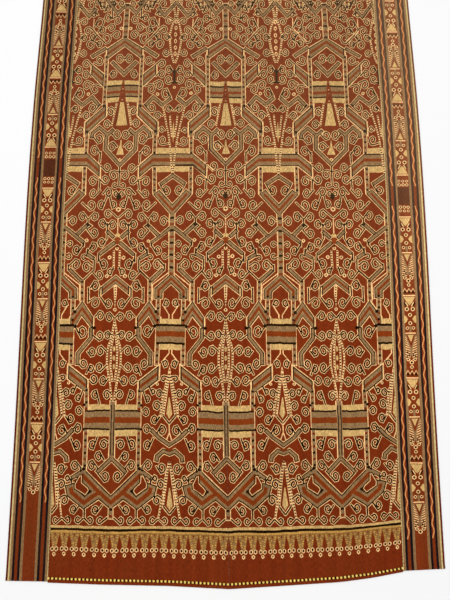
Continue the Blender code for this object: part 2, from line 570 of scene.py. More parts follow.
TREE = Figure(
    "tree of hooks",
    hooks=(
        (17, 884, 9.4, -8, 14, -1), (61, 841, 14.4, 14, -10, 1), (49, 873, 12.8, 20, 10, -1),
        (87, 900, 14.2, -18, 1, 1),
        (120, 907, 14.6, 20, -6, 1), (38, 907, 14.6, 16, 22, -1), (98, 929, 7.8, -10, 2, 1),
        (141, 931, 8.0, 12, -1, -1), (120, 950, 13.2, -19, 19, -1), (72, 960, 13.4, 18, -21, 1),
        (141, 970, 8.0, 11, 0, 1), (47, 974, 14.0, -16, 15, -1), (71, 1003, 12.8, 22, 12, -1),
        (17, 1032, 12.4, 14, -5, 1), (46, 1033, 13.0, -13, -5, 1), (137, 1044, 12.4, 15, -1, 1),
        (71, 1056, 12.8, 19, -8, 1), (108, 1057, 12.4, -16, -7, 1), (31, 1066, 12.4, -30, -14, 1),
        (84, 1091, 14.8, 28, 10, -1), (52, 1094, 13.6, -17, 29, -1), (16, 1096, 11.6, 11, 27, -1),
        (78, 1130, 12.4, -22, 12, -1), (8, 1130, 8.0, -9, -3, 1), (31, 1136, 13.4, 18, -8, 1),
        (143, 1139, 13.4, -19, 21, -1), (12, 1157, 8.0, -14, 0, -1), (80, 1171, 13.4, -16, 3, 1),
        (43, 1174, 13.0, 19, 3, -1), (17, 1192, 13.0, -17, 9, 1),
    ),
    bands=(
        (Band.THICK, ((118, 1128), (162, 1076), (180, 1100))),
        (Band.GREY, ((160, 1023), (102, 975))),
        (Band.LINE, ((101, 974), (101, 962))),
        (Band.GREY, ((89, 1032), (122, 999))),
        (Band.LINE, ((91, 1051), (90, 1034), (80, 1026), (94, 1014))),
        (Band.GREY, ((12, 990), (31, 1009))),
        (Band.LINE, ((32, 1036), (32, 986))),
        (Band.GREY, ((8, 974), (50, 938))),
        (Band.LINE, ((53, 938), (54, 912))),
        (Band.LINE, ((42, 838), (46, 832), (46, 806))),
        (Band.GREY, ((68, 924), (88, 938))),
        (Band.LINE, ((65, 922), (65, 890), (97, 857))),
        (Band.LINE, ((89, 938), (88, 956))),
        (Band.GREY, ((100, 853), (136, 889))),
        (Band.LINE, ((141, 906), (141, 886))),
        (Band.THICK, ((175, 849), (162, 861), (125, 825), (125, 808))),
        (Band.THREAD, ((154, 880), (107, 842), (107, 794))),
        (Band.THREAD, ((0, 1050), (0, 1004))),
    ),
    girders=((((-20, 829), (0, 846), (41, 811)), ((-20, 857), (0, 874), (41, 839))),),
    ropes=(((9, 950), (8, 890)),),
    posts=(((99, 858), (99, 792)),),
    rings=((92, 981, 5.0), (20, 928, 5.6), (27, 871, 5.6), (0, 956, 5.0), (0, 1080, 7.0)),
    blots=((90, 1029, 5.0, 5.6),),
)

HOUSE = Figure(
    "upper house",
    hooks=(
        (38, 1214, 12.8, 20, 6, -1), (79, 1270, 14.2, -20, -14, 1), (26, 1284, 13.4, -16, -2, 1),
        (129, 1302, 13.0, 19, -8, -1), (68, 1308, 14.4, 23, 16, -1), (14, 1321, 13.4, 16, 4, -1),
        (126, 1340, 7.6, 10, -4, 1), (45, 1359, 11.4, -13, -1, 1), (112, 1389, 12.0, 16, -4, 1),
        (35, 1402, 12.6, -12, 4, 1), (146, 1411, 10.0, 14, -7, 1), (91, 1413, 14.6, -24, 14, -1),
        (136, 1464, 16.4, 16, -14, 1), (89, 1479, 14.6, -19, 8, 1), (115, 1493, 13.8, -19, 4, 1),
        (144, 1509, 12.4, 15, -6, -1), (34, 1528, 12.0, 10, -2, 1), (121, 1530, 12.6, -18, -9, 1),
        (145, 1545, 12.0, 12, -6, 1), (122, 1567, 12.2, -19, -5, 1), (80, 1576, 13.8, 18, -5, -1),
        (14, 1583, 13.4, -18, -8, 1),
    ),
    bands=(
        (Band.GREY, ((26, 1337), (46, 1319), (46, 1274), (0, 1224), (-10, 1234))),
        (Band.GREY, ((45, 1323), (69, 1346), (88, 1330), (91, 1314))),
        (Band.GREY, ((176, 1170), (162, 1186), (126, 1160))),
        (Band.LINE, ((0, 1222), (0, 1158))),
        (Band.LINE, ((61, 1266), (61, 1230))),
        (Band.LINE, ((59, 1172), (61, 1142))),
        (Band.GREY, ((38, 1570), (0, 1528), (-10, 1538))),
        (Band.GREY, ((74, 1424), (96, 1450), (126, 1424), (150, 1446))),
    ),
    girders=(
        (((60, 1182), (100, 1218), (175, 1218)), ((60, 1221), (102, 1260), (175, 1260))),
        (((50, 1384), (113, 1322)), ((50, 1424), (113, 1366))),
        (((63, 1486), (105, 1529)), ((63, 1528), (105, 1565))),
    ),
    ropes=(((17, 1428), (30, 1352)),),
    cords=(
        ((127, 1420), (140, 1360), (150, 1308), (155, 1262), (158, 1222), (161, 1192)),
        ((150, 1388), (153, 1356), (158, 1316)),
    ),
    posts=(((106, 1338), (106, 1262)), ((107, 1216), (107, 1130)), ((57, 1596), (56, 1420))),
    rings=((109, 1462, 5.4), (0, 1240, 5.0)),
    blots=((57, 1420, 5.0, 5.6), (106, 1334, 5.0, 5.6)),
)

SHOULDER = Figure(
    "shoulders",
    hooks=(
        (133, 1604, 11.2, 16, 0, -1), (110, 1636, 14.8, -17, 4, 1), (61, 1655, 17.6, 44, 30, -1),
        (133, 1660, 11.0, 14, -6, 1), (29, 1669, 12.8, 18, -5, 1), (122, 1686, 12.6, -18, 0, 1),
        (46, 1696, 12.8, 17, -2, 1), (87, 1713, 17.4, 18, -20, 1), (137, 1719, 11.0, 16, 1, 1),
        (29, 1723, 13.4, 18, 6, 1), (61, 1731, 12.8, -13, -5, 1), (82, 1777, 12.8, 8, 16, -1),
        (118, 1777, 15.4, 14, -14, -1), (76, 1686, 11.4, 14, -10, 1), (104, 1662, 11.0, -12, 8, -1),
        (84, 1637, 10.6, 12, 8, -1), (108, 1748, 12.0, -14, -6, 1), (64, 1766, 10.6, 10, -14, 1),
        (45, 1781, 10.6, -12, 6, -1),
    ),
    bands=(
        (Band.GREY, ((62, 1621), (104, 1592))),
        (Band.THREAD, ((106, 1728), (106, 1692), (66, 1642))),
        (Band.LINE, ((48, 1762), (48, 1726))),
        (Band.GREY, ((67, 1798), (31, 1747), (10, 1770))),
        (Band.GREY, ((170, 1798), (123, 1738), (102, 1764))),
    ),
    girders=((((-20, 1611), (0, 1627), (57, 1580)), ((-20, 1644), (0, 1660), (57, 1620))),),
    ropes=(((160, 1735), (149, 1699), (141, 1660), (147, 1617), (155, 1584), (160, 1568)),),
    rings=((15, 1692, 5.6),),
)


# How far a shape that runs off the chart is drawn past its edge
PAST = 5.0


@dataclass
class PanelDesign:
    """The design of a patterned panel: half a repeat wide, its full length long, in millimetres.

    Its tables count places across from the seam axis, or from the spear axis where their name says
    so, and places along from the near end.

    Args:
        repeat: Width of half a repeat, from a seam axis to a spear axis.
        length: Length of the cloth.
        tooth_pitch: Width of one tooth of the end border.
    """

    repeat: float
    length: float
    tooth_pitch: float = 27.0

    # Level lines of the end border: layer, dye, where they start and end along
    LINES = (
        (Layer.EDGE, Dye.FLECK, 136, 143), (Layer.EDGE, Dye.PALE, 149.5, 157),
        (Layer.CORE, Dye.BLACK, 142.6, 149.6), (Layer.EDGE, Dye.WELD, 9.8, 14.4),
    )
    # One tooth, across from its middle: its outline and notch, the rows of its flecks and how far
    # across they reach at the first row, and less at each next
    TOOTH = (
        (Layer.EDGE, Dye.MOTTLE,
         both(((13.5, 137), (12.6, 128), (9.8, 118), (8.2, 108), (6.6, 100), (3.2, 95)))),
        (Layer.CORE, Dye.RED, ((-2.2, 134), (2.2, 134), (0, 123))),
    )
    FLECK_ROWS = (131.0, 125.0, 118.5, 112.5, 106.5, 101.0)
    FLECK_REACH = 8.6
    FLECK_TAPER = 1.1
    # A tooth's two flecks on each side: share of the reach, how far along from the row, how much
    # further on the right and nearer on the left, half width, half length
    FLECKS = ((1.0, 0.0, 1.2, 2.6, 2.2), (0.32, -2.6, 0.0, 1.8, 1.7))
    # The three rings at a tooth's end: layer, dye, place, half width, half length
    TOOTH_RINGS = (
        (Layer.CROWN, Dye.CREAM, (-5.9, 92.0), 5.2, 7.0), (Layer.EYE, Dye.BLACK, (-5.9, 92.0), 2.7, 4.2),
        (Layer.CROWN, Dye.CREAM, (5.9, 92.0), 5.2, 7.0), (Layer.EYE, Dye.BLACK, (5.9, 92.0), 2.7, 4.2),
        (Layer.CROWN, Dye.CREAM, (0, 78.5), 4.6, 6.4), (Layer.EYE, Dye.BLACK, (0, 78.8), 1.7, 3.0),
    )
    # Corners of the small red room in the near band
    POCKET = ((70, 244), (96, 260), (97, 270), (86, 292), (83, 292), (82, 273), (66, 260), (63, 254))
    # Stacks of bars: reach of the dark and of the pale ones, where they start along, their depths
    NEAR_BARS = ((7.4, 80.0), (7.4, 69.0), 401.5, (17, 5, 14, 16, 16, 5, 15.5))
    FIELD_BARS = (
        ((119.0, 167.0), (132.0, 167.0), 649.0, (16, 6, 16, 16, 15, 7, 15)),
        ((-5.0, 50.0), (-5.0, 50.0), 1431.0, (16, 5, 9, 9, 14, 6, 15)),
    )
    # Upright boxes: layer, dye, near left corner, far right corner
    NEAR_BOXES = (
        (Layer.CROWN, Dye.BROWN, (-2.6, 344), (2.6, 500)), (Layer.CROWN, Dye.BLACK, (2.6, 350), (5.4, 489)),
    )
    FIELD_BOXES = (
        (Layer.HEART, Dye.PALE, (114, 1199), (167, 1217)), (Layer.HEART, Dye.PALE, (114, 1261), (167, 1279)),
        (Layer.CROWN, Dye.BLACK, (158.4, 1503), (165.6, 1540)),
    )
    # Spears: blunt near end, sharp far end, half width, where the pale drop starts and ends
    SPEARS = ((188, 330, 17.0, 200, 262), (437, 572, 17.5, 450, 512))
    # How far up a spear its shoulder is and how far up a drop its waist, as shares; half width of a
    # drop at its waist and at its top; and how far its edge stops from the axis
    SHOULDER_SHARE = 0.16
    WAIST_SHARE = 0.22
    DROP_WAIST = 8.2
    DROP_TOP = 1.2
    SPEAR_TOP = 2.0
    NEAR_PILLAR = ((0, 500), (0, 346))
    # Pillars with spots: place across, far end, near end, how far along the first spot is
    PILLARS = ((162, 1064, 872, 13.0), (0, 1782, 1650, 5.0))
    # A chevron on the spear axis: layer, dye, corners
    NEAR_SPEAR_SHAPES = ((Layer.SPOT, Dye.RUST, ((-22, 376), (0, 359), (22, 376), (0, 366))),)
    # On the seam axis: a skirt and the wedge past it, a small tree, an arrow and a cone
    SEAM_SHAPES = (
        (Layer.CROWN, Dye.PALE, ((-17, 1353), (17, 1353), (5, 1431), (-5, 1431))),
        (Layer.CROWN, Dye.RED, ((-12, 1429), (12, 1429), (2, 1512), (-2, 1512))),
        (Layer.CROWN, Dye.PALE, both(((12, 1257), (8, 1272), (2.8, 1286), (1.5, 1304)))),
        (Layer.CROWN, Dye.BLACK, ((-8, 1119), (0, 1109), (8, 1119), (3, 1124), (8, 1142), (0, 1132),
                                  (-8, 1142), (-3, 1124))),
        (Layer.CROWN, Dye.CREAM, ((-5, 842), (5, 842), (4, 812), (0, 774), (-4, 812))),
    )
    # On the spear axis: a leaf, a spear head, and the two serifs of the black bar
    SPEAR_SHAPES = (
        (Layer.CROWN, Dye.PALE, ((0, 1296), (-4.2, 1330), (0, 1368), (4.2, 1330))),
        (Layer.CROWN, Dye.CREAM, ((-4.6, 582), (0, 604), (4.6, 582))),
        (Layer.CROWN, Dye.BLACK, ((-10, 1535), (0, 1548), (10, 1535))),
        (Layer.CROWN, Dye.BLACK, ((-10, 1497), (0, 1511), (10, 1497))),
    )
    # Rows of spots on the seam axis: kind, line, layer
    SEAM_SPOTS = (
        (Spots.TEETH, ((17.8, 1355), (5.8, 1430)), Layer.SPOT),
        (Spots.WEDGE, ((0, 1434), (0, 1508)), Layer.EYE),
        (Spots.LADDER, ((0, 838), (0, 784)), Layer.EYE),
    )
    # Six-sided spots: layer, dye, place, half width, half length
    SEAM_GEMS = (
        (Layer.CROWN, Dye.PALE, (0, 996), 7.0, 8.0), (Layer.EYE, Dye.RUST, (0, 980), 7.0, 12.0),
        (Layer.EYE, Dye.BLACK, (0, 962), 2.6, 4.0), (Layer.CROWN, Dye.PALE, (0, 600), 3.4, 9.0),
        (Layer.CROWN, Dye.PALE, (0, 626), 3.4, 9.0), (Layer.CROWN, Dye.PALE, (0, 652), 3.4, 9.0),
    )
    SPEAR_GEMS = ((Layer.EYE, Dye.BLACK, (0, 591), 1.9, 2.6),)
    # A ring on the spear axis: place along, size
    SPEAR_RING = (1484, 4.4)
    # Beads on the spear axis: where they are along, and half sizes of each and of its heart
    BEADS = (1600, 1622, 1645, 1668, 1692, 1716)
    BEAD = (4.8, 9.0)
    BEAD_HEART = (2.2, 4.4)

    def border(self, chart: Chart) -> None:
        """Draws the end border: its level lines, and its teeth.

        Args:
            chart: Where to draw it.
        """
        for layer, dye, low, high in self.LINES:
            chart.box(layer, dye, (-PAST, low), (self.repeat + PAST, high))
        for i in range(round(self.repeat / self.tooth_pitch)):
            self.tooth(chart, (i + 0.5) * self.tooth_pitch)

    def tooth(self, chart: Chart, middle: float) -> None:
        """Draws one mottled tooth that hangs from the pale line and ends in three rings.

        Args:
            chart: Where to draw it.
            middle: Where its middle is across.
        """
        chart.shapes(self.TOOTH, middle)
        for row, y in enumerate(self.FLECK_ROWS):
            reach = self.FLECK_REACH - self.FLECK_TAPER * row
            for side in (-1, 1):
                dyes = (Dye.FLECK, Dye.BROWN) if (row + side) % 4 else (Dye.BROWN, Dye.FLECK)
                for dye, (share, drop, lean, *halves) in zip(dyes, self.FLECKS):
                    centre = (middle + side * reach * share, y + drop + side * lean)
                    chart.gem(Layer.BODY, dye, centre, *halves)
        chart.gems(self.TOOTH_RINGS, middle)

    def spear(self, chart: Chart, tip: float, top: float, half_width: float, low: float, high: float) -> None:
        """Draws a long spear on the spear axis.

        Args:
            chart: Where to draw it.
            tip: Its blunt near end.
            top: Its sharp far end.
            half_width: Half its width near the tip.
            low: Where its pale drop starts.
            high: Where its pale drop ends.
        """
        shoulder = (self.repeat - half_width, tip + self.SHOULDER_SHARE * (top - tip))
        chart.stroke(Band.LINE, [(self.repeat, tip), shoulder])
        chart.rope(shoulder, (self.repeat - self.SPEAR_TOP, top))
        waist = low + self.WAIST_SHARE * (high - low)
        wide, slim = self.DROP_WAIST, self.DROP_TOP
        drop = ((0, low), (-wide, waist), (-slim, high), (slim, high), (wide, waist))
        chart.shapes(((Layer.CROWN, Dye.PALE, drop),), self.repeat)

    def near_end(self) -> Chart:
        """Charts what both ends of the cloth share, up to the first stack of bars.

        Returns:
            A chart of the near end alone.
        """
        chart = Chart(self.repeat, self.length, Dye.RED)
        self.border(chart)
        chart.pocket(self.POCKET, Dye.RED, edge=2.0, rim=5.0)
        FOOT.draw(chart)
        chart.stroke(Band.PILLAR, self.NEAR_PILLAR)
        chart.bars(*self.NEAR_BARS)
        for row in self.NEAR_BOXES:
            chart.box(*row)
        chart.shapes(self.NEAR_SPEAR_SHAPES, self.repeat)
        for row in self.SPEARS:
            self.spear(chart, *row)
        return chart

    def field_marks(self, chart: Chart) -> None:
        """Draws what stands on the two axes of the repeat, between the ends.

        Args:
            chart: Where to draw it.
        """
        for drawn, rows in (
            (chart.bars, self.FIELD_BARS), (chart.box, self.FIELD_BOXES), (chart.pillar, self.PILLARS),
        ):
            for row in rows:
                drawn(*row)
        chart.shapes(self.SEAM_SHAPES)
        chart.shapes(self.SPEAR_SHAPES, self.repeat)
        for kind, line, layer in self.SEAM_SPOTS:
            chart.spots(kind, line, layer=layer)
        chart.gems(self.SEAM_GEMS)
        chart.gems(self.SPEAR_GEMS, self.repeat)
        chart.ring(self.repeat, *self.SPEAR_RING)
        for y in self.BEADS:
            chart.gem(Layer.CROWN, Dye.CREAM, (self.repeat, y), *self.BEAD)
            chart.gem(Layer.EYE, Dye.RED, (self.repeat, y), *self.BEAD_HEART)

    def drawn(self) -> Chart:
        """Draws the whole chart.

        Returns:
            Half a repeat of the panel's design, end to end.
        """
        chart = Chart(self.repeat, self.length, Dye.RED)
        near = self.near_end()
        chart.take(near)
        for figure in (LENS, TREE, HOUSE, SHOULDER):
            figure.draw(chart)
        self.field_marks(chart)
        chart.take(near, turned=True)
        return chart


@dataclass
class StripDesign:
    """The design of a side strip, from its outer edge to the seam, in millimetres.

    Args:
        width: Width of the strip.
        length: Its length.
        block: Where its dark block is along it; the motifs are mirrored about that.
        block_half: Half the dark block's length.
        unit: Length of one motif of the middle band.
        first_cup: Distance from the block's middle to the first cup on each side.
    """

    width: float
    length: float
    block: float
    block_half: float = 28.0
    unit: float = 236.0
    first_cup: float = 66.0

    STRIPES = (
        (0.0, 5.2, Dye.MAROON), (5.2, 9.2, Dye.STRAW), (9.2, 15.8, Dye.TAN), (15.8, 22.2, Dye.INK),
        (30.4, 37.0, Dye.INK), (37.0, 44.2, Dye.TAN), (77.8, 84.8, Dye.TAN), (84.8, 91.6, Dye.INK),
        (100.0, 106.6, Dye.INK), (106.6, 113.0, Dye.TAN), (113.0, 115.0, Dye.STRAW),
    )
    MIDDLE = 62.0
    BLOCK_SPAN = (44.2, 79.8)
    # Wavy lines: their places across, swing, length and points of a wave, and gap beside the block
    SNAKES = (26.3, 96.3)
    SNAKE_SWING = 2.4
    SNAKE_WAVE = 43.0
    SNAKE_POINTS = 6
    SNAKE_GAP = 4.0
    # Rows of rings past each end of the dark block: distance from it and size, and places across
    EYE_ROWS = ((8, 4.6), (20, 4.0))
    EYES_ACROSS = (-11.4, 0.0, 11.4)
    # A ring's height for a width of 1, and its pupil's width and height
    EYE = (1.15, (0.56, 0.68))

    # Motifs on each side of the block, and the length that one is charted in
    MOTIFS = 4
    MOTIF_LENGTH = 240.0
    # How far the last motif is drawn, and where the snakes beside it end
    LAST_REACH = 203.0
    LAST_END = 222.0
    # Plumes: how many, where the first starts along, their pitch, their outer end across, and how
    # much further along the inner end is
    PLUMES = 10
    PLUME_START = 122.0
    PLUME_PITCH = 6.8
    PLUME_OUTER = 16.6
    PLUME_RISE = 5.0
    # A plume's two strokes: dye, how far along the first starts, width
    PLUME_STROKES = ((Dye.CREAM, 0.0, 2.4), (Dye.STRIP_RED, 3.3, 2.2))
    # The plumes' inner end across: how near the middle at most, at the first one, and less at each next
    PLUME_INNER = (3.4, 12.0, 1.9)
    # Dark drops below the plumes: their places, and the corners of one
    DROPS = ((10.6, 168.0), (6.2, 176.0), (12.0, 181.0))
    DROP = ((0, -5), (2.4, 1), (0, 4), (-2.4, 1))
    # The right half of one motif: layer, dye, and corners across from the middle and along from the lip
    HALF_MOTIF = (
        (Layer.CROWN, Dye.CREAM, ((0, 0), (17.6, 0), (17.6, 3.4), (0, 3.4))),
        (Layer.HEART, Dye.PALE, ((0, 5.5), (16, 5.5), (14, 12), (4.5, 27), (0, 30))),
        (Layer.CROWN, Dye.BLACK, ((14.6, 20), (17.4, 25), (9.5, 37), (7.5, 33))),
        (Layer.CROWN, Dye.CREAM, ((10.8, 21), (13, 22.5), (6, 35), (4, 33))),
        (Layer.CROWN, Dye.PALE, ((17.6, 60), (12, 62.5), (6.5, 71), (12, 80.5), (17.6, 83))),
        (Layer.HEART, Dye.TAN, ((0, 92), (3.2, 92), (3.2, 111), (0, 111))),
        (Layer.CROWN, Dye.CREAM, ((0, 111), (15, 111), (15, 114.4), (0, 114.4))),
        (Layer.BODY, Dye.TAN, ((0, 117), (17.6, 117), (17.6, 178), (6, 190), (0, 176))),
        (Layer.CROWN, Dye.PALE, ((0, 118), (8.6, 118), (0, 138))),
        (Layer.CROWN, Dye.RED, ((9.4, 118), (12.6, 118), (0, 156), (0, 140))),
        (Layer.CROWN, Dye.CREAM, ((0, 222), (5.9, 232), (11.7, 222), (17.6, 232), (17.6, 229), (11.7, 219),
                                  (5.9, 229), (0, 219))),
        (Layer.EYE, Dye.BLACK, ((0, 225), (4.4, 235), (0, 235))),
        (Layer.EYE, Dye.BLACK, ((11.7, 225), (16.4, 235), (7, 235))),
    )
    # Rings of the motif: across from the middle, along from the lip, size
    RINGS = (
        (8.8, 42.0, 6.0), (0.0, 59.0, 5.4), (0.0, 83.0, 5.4), (9.0, 97.5, 4.6), (10.0, 189.0, 4.6),
        (0.0, 197.0, 5.8), (0.0, 210.0, 4.8),
    )

    def plumes(self) -> list[tuple[Layer, Dye, Line]]:
        """Works out the slanting strokes of the plumes beside the motif's tail, and its drops.

        Returns:
            The right half of each: layer, dye and corners.
        """
        shapes = []
        outer, rise = self.PLUME_OUTER, self.PLUME_RISE
        nearest, widest, taper = self.PLUME_INNER
        for row in range(self.PLUMES):
            start = self.PLUME_START + self.PLUME_PITCH * row
            inner = max(nearest, widest - taper * row)
            for dye, first, width in self.PLUME_STROKES:
                low, high = start + first, start + first + width
                corners = ((inner, low + rise), (outer, low), (outer, high), (inner, high + rise))
                shapes.append((Layer.CROWN, dye, corners))
        for x, y in self.DROPS:
            corners = tuple((x + across, y + ahead) for across, ahead in self.DROP)
            shapes.append((Layer.EYE, Dye.BLACK, corners))
        return shapes

    def motif(self, chart: Chart, lip: float, way: int, reach: float) -> None:
        """Draws one motif of the middle band.

        Args:
            chart: Where to draw it.
            lip: Where the flat lip of its cup is along the strip.
            way: 1 if the motif runs towards the far end, -1 towards the near end.
            reach: How much of its charted length is drawn.
        """
        scale = way * self.unit / self.MOTIF_LENGTH
        for side in (-1, 1):
            for layer, dye, corners in (*self.HALF_MOTIF, *self.plumes()):
                if max(y for _, y in corners) < reach:
                    outline = [(self.MIDDLE + side * x, lip + scale * y) for x, y in corners]
                    chart.fill(layer, dye, outline)
            for x, y, size in self.RINGS:
                if y < reach and (x or side == 1):
                    chart.ring(self.MIDDLE + side * x, lip + scale * y, size, *self.EYE)

    def snake(self, chart: Chart, middle: float, start: float, end: float) -> None:
        """Draws a wavy line in one of the narrow red stripes.

        Args:
            chart: Where to draw it.
            middle: The middle of the stripe across.
            start: Where it starts along.
            end: Where it ends along.
        """
        count = round((end - start) / self.SNAKE_WAVE * self.SNAKE_POINTS)
        steps = np.linspace(start, end, count + 1)
        swing = self.SNAKE_SWING * np.sin(2 * math.pi * steps / self.SNAKE_WAVE)
        chart.stroke(Band.SNAKE, np.stack([middle + swing, steps], axis=1))

    def drawn(self) -> Chart:
        """Draws the whole chart.

        Returns:
            The strip's chart, its outer edge at 0 across.
        """
        chart = Chart(self.width, self.length, Dye.STRIP_RED)
        for left, right, dye in self.STRIPES:
            chart.box(Layer.EDGE, dye, (left, -PAST), (right, self.length + PAST))
        low, high = self.block - self.block_half, self.block + self.block_half
        last = self.first_cup + (self.MOTIFS - 1) * self.unit + self.LAST_END
        left, right = self.BLOCK_SPAN
        chart.box(Layer.EDGE, Dye.BLOCK, (left, low), (right, high))
        for snake in self.SNAKES:
            self.snake(chart, snake, self.block - last, low - self.SNAKE_GAP)
            self.snake(chart, snake, high + self.SNAKE_GAP, self.block + last)
        for way in (-1, 1):
            for x in self.EYES_ACROSS:
                for gap, size in self.EYE_ROWS:
                    y = self.block + way * (self.block_half + gap)
                    chart.ring(self.MIDDLE + x, y, size, *self.EYE)
            for i in range(self.MOTIFS):
                lip = self.block + way * (self.first_cup + i * self.unit)
                self.motif(chart, lip, way, self.LAST_REACH if i == self.MOTIFS - 1 else self.MOTIF_LENGTH)
        return chart


@dataclass
class Painted:
    """A chart cut into triangles of one dye each.

    Args:
        points: Corners in millimetres.
        triangles: Three corner numbers each, turned anticlockwise.
        dyes: The dye of each triangle.
    """

    points: np.ndarray
    triangles: np.ndarray
    dyes: list[Dye]


# Points this near the edge of a chart, in millimetres, are on it
SNAP = 0.05


@dataclass
class Cutter:
    """Cuts a chart along its shapes, so that each triangle has one dye.

    Args:
        chart: What to cut.
        rules: Extra cuts straight across, where the cloth's thickness changes.
        lattice: Widest spacing of the points of bare cloth.
        margin: How far those points keep from the far side.
        merge: Corners nearer than this become one.
    """

    chart: Chart
    rules: tuple[float, ...]
    lattice: float = 24.0
    margin: float = 3.0
    merge: float = 0.02

    def outline(self) -> tuple[list[Point], list[tuple[int, int]]]:
        """Lays out the rectangle's border and the rules.

        Returns:
            Points, and the edges between them.
        """
        width, length = self.chart.width, self.chart.length
        rows = sorted({0.0, length, *self.rules, *(length - r for r in self.rules)})
        levels = [rows[0]]
        for low, high in zip(rows, rows[1:]):
            count = max(1, round((high - low) / self.lattice))
            levels += [low + (high - low) * (i + 1) / count for i in range(count)]
        points, edges = [], []
        for x in (0.0, width):
            first = len(points)
            points += [(x, y) for y in levels]
            edges += [(i, i + 1) for i in range(first, len(points) - 1)]
        for y in rows:
            count = max(1, round(width / self.lattice))
            first = len(points)
            points += [(width * i / count, y) for i in range(count + 1)]
            edges += [(i, i + 1) for i in range(first, len(points) - 1)]
        for row, y in enumerate(levels[1:-1]):
            shift = 0.25 + 0.5 * (row % 2)
            points += [(x, y) for x in np.arange(shift * self.lattice, width - self.margin, self.lattice)]
        return points, edges

    def cut(self) -> Painted:
        """Cuts the chart.

        Returns:
            The painted triangles.
        """
        points, edges = self.outline()
        for patch in self.chart.patches:
            first, count = len(points), len(patch.rim)
            points += [tuple(p) for p in patch.rim]
            edges += [(first + i, first + (i + 1) % count) for i in range(count)]
        flat = delaunay_2d_cdt([Vector(p) for p in points], edges, [], 0, self.merge, False)
        places = np.array([tuple(p) for p in flat[0]])
        for axis, far in ((0, self.chart.width), (1, self.chart.length)):
            for level in (0.0, far):
                places[abs(places[:, axis] - level) < SNAP, axis] = level
        triangles = np.array([f for f in flat[2] if len(f) == 3])
        corners = places[triangles]
        a, b = corners[:, 1] - corners[:, 0], corners[:, 2] - corners[:, 0]
        area = a[:, 0] * b[:, 1] - a[:, 1] * b[:, 0]
        triangles[area < 0] = triangles[area < 0][:, ::-1]
        middles = corners.mean(axis=1)
        kept = (middles > 0).all(axis=1)
        kept &= (middles < [self.chart.width, self.chart.length]).all(axis=1)
        used, numbers = np.unique(triangles[kept], return_inverse=True)
        return Painted(places[used], numbers.reshape(-1, 3), self.dyes(middles[kept]))

    def dyes(self, middles: np.ndarray) -> list[Dye]:
        """Finds the dye on top at each place.

        Args:
            middles: Places on the chart.

        Returns:
            A dye for each place.
        """
        found = [self.chart.ground] * len(middles)
        order = np.argsort(middles[:, 1])
        heights = middles[order, 1]
        for patch in sorted(self.chart.patches, key=lambda p: p.layer):
            for cell in patch.cells:
                low, high = cell.min(axis=0), cell.max(axis=0)
                first, last = np.searchsorted(heights, [low[1], high[1]])
                near = order[first:last]
                near = near[(middles[near, 0] >= low[0]) & (middles[near, 0] <= high[0])]
                for i in near[inside(cell, middles[near])]:
                    found[i] = patch.dye
        return found


@dataclass(frozen=True)
class Swell:
    """A low oval rise where the cloth stands off the surface, in metres and degrees."""

    x: float
    y: float
    half_width: float
    half_length: float
    turn: float
    rise: float

    def height(self, x: np.ndarray, y: np.ndarray) -> np.ndarray:
        """Works out the rise.

        Args:
            x: Places across in the straight layout.
            y: Places along.

        Returns:
            The rise at each place.
        """
        angle = math.radians(self.turn)
        across = (x - self.x) * math.cos(angle) + (y - self.y) * math.sin(angle)
        ahead = (y - self.y) * math.cos(angle) - (x - self.x) * math.sin(angle)
        left = 1.0 - (across / self.half_width) ** 2 - (ahead / self.half_length) ** 2
        return self.rise * np.maximum(left, 0.0) ** 2


def ease(value: np.ndarray, start: float, end: float) -> np.ndarray:
    """Rises smoothly from 0 at start to 1 at end."""
    share = np.clip((value - start) / (end - start), 0.0, 1.0)
    return share * share * (3.0 - 2.0 * share)


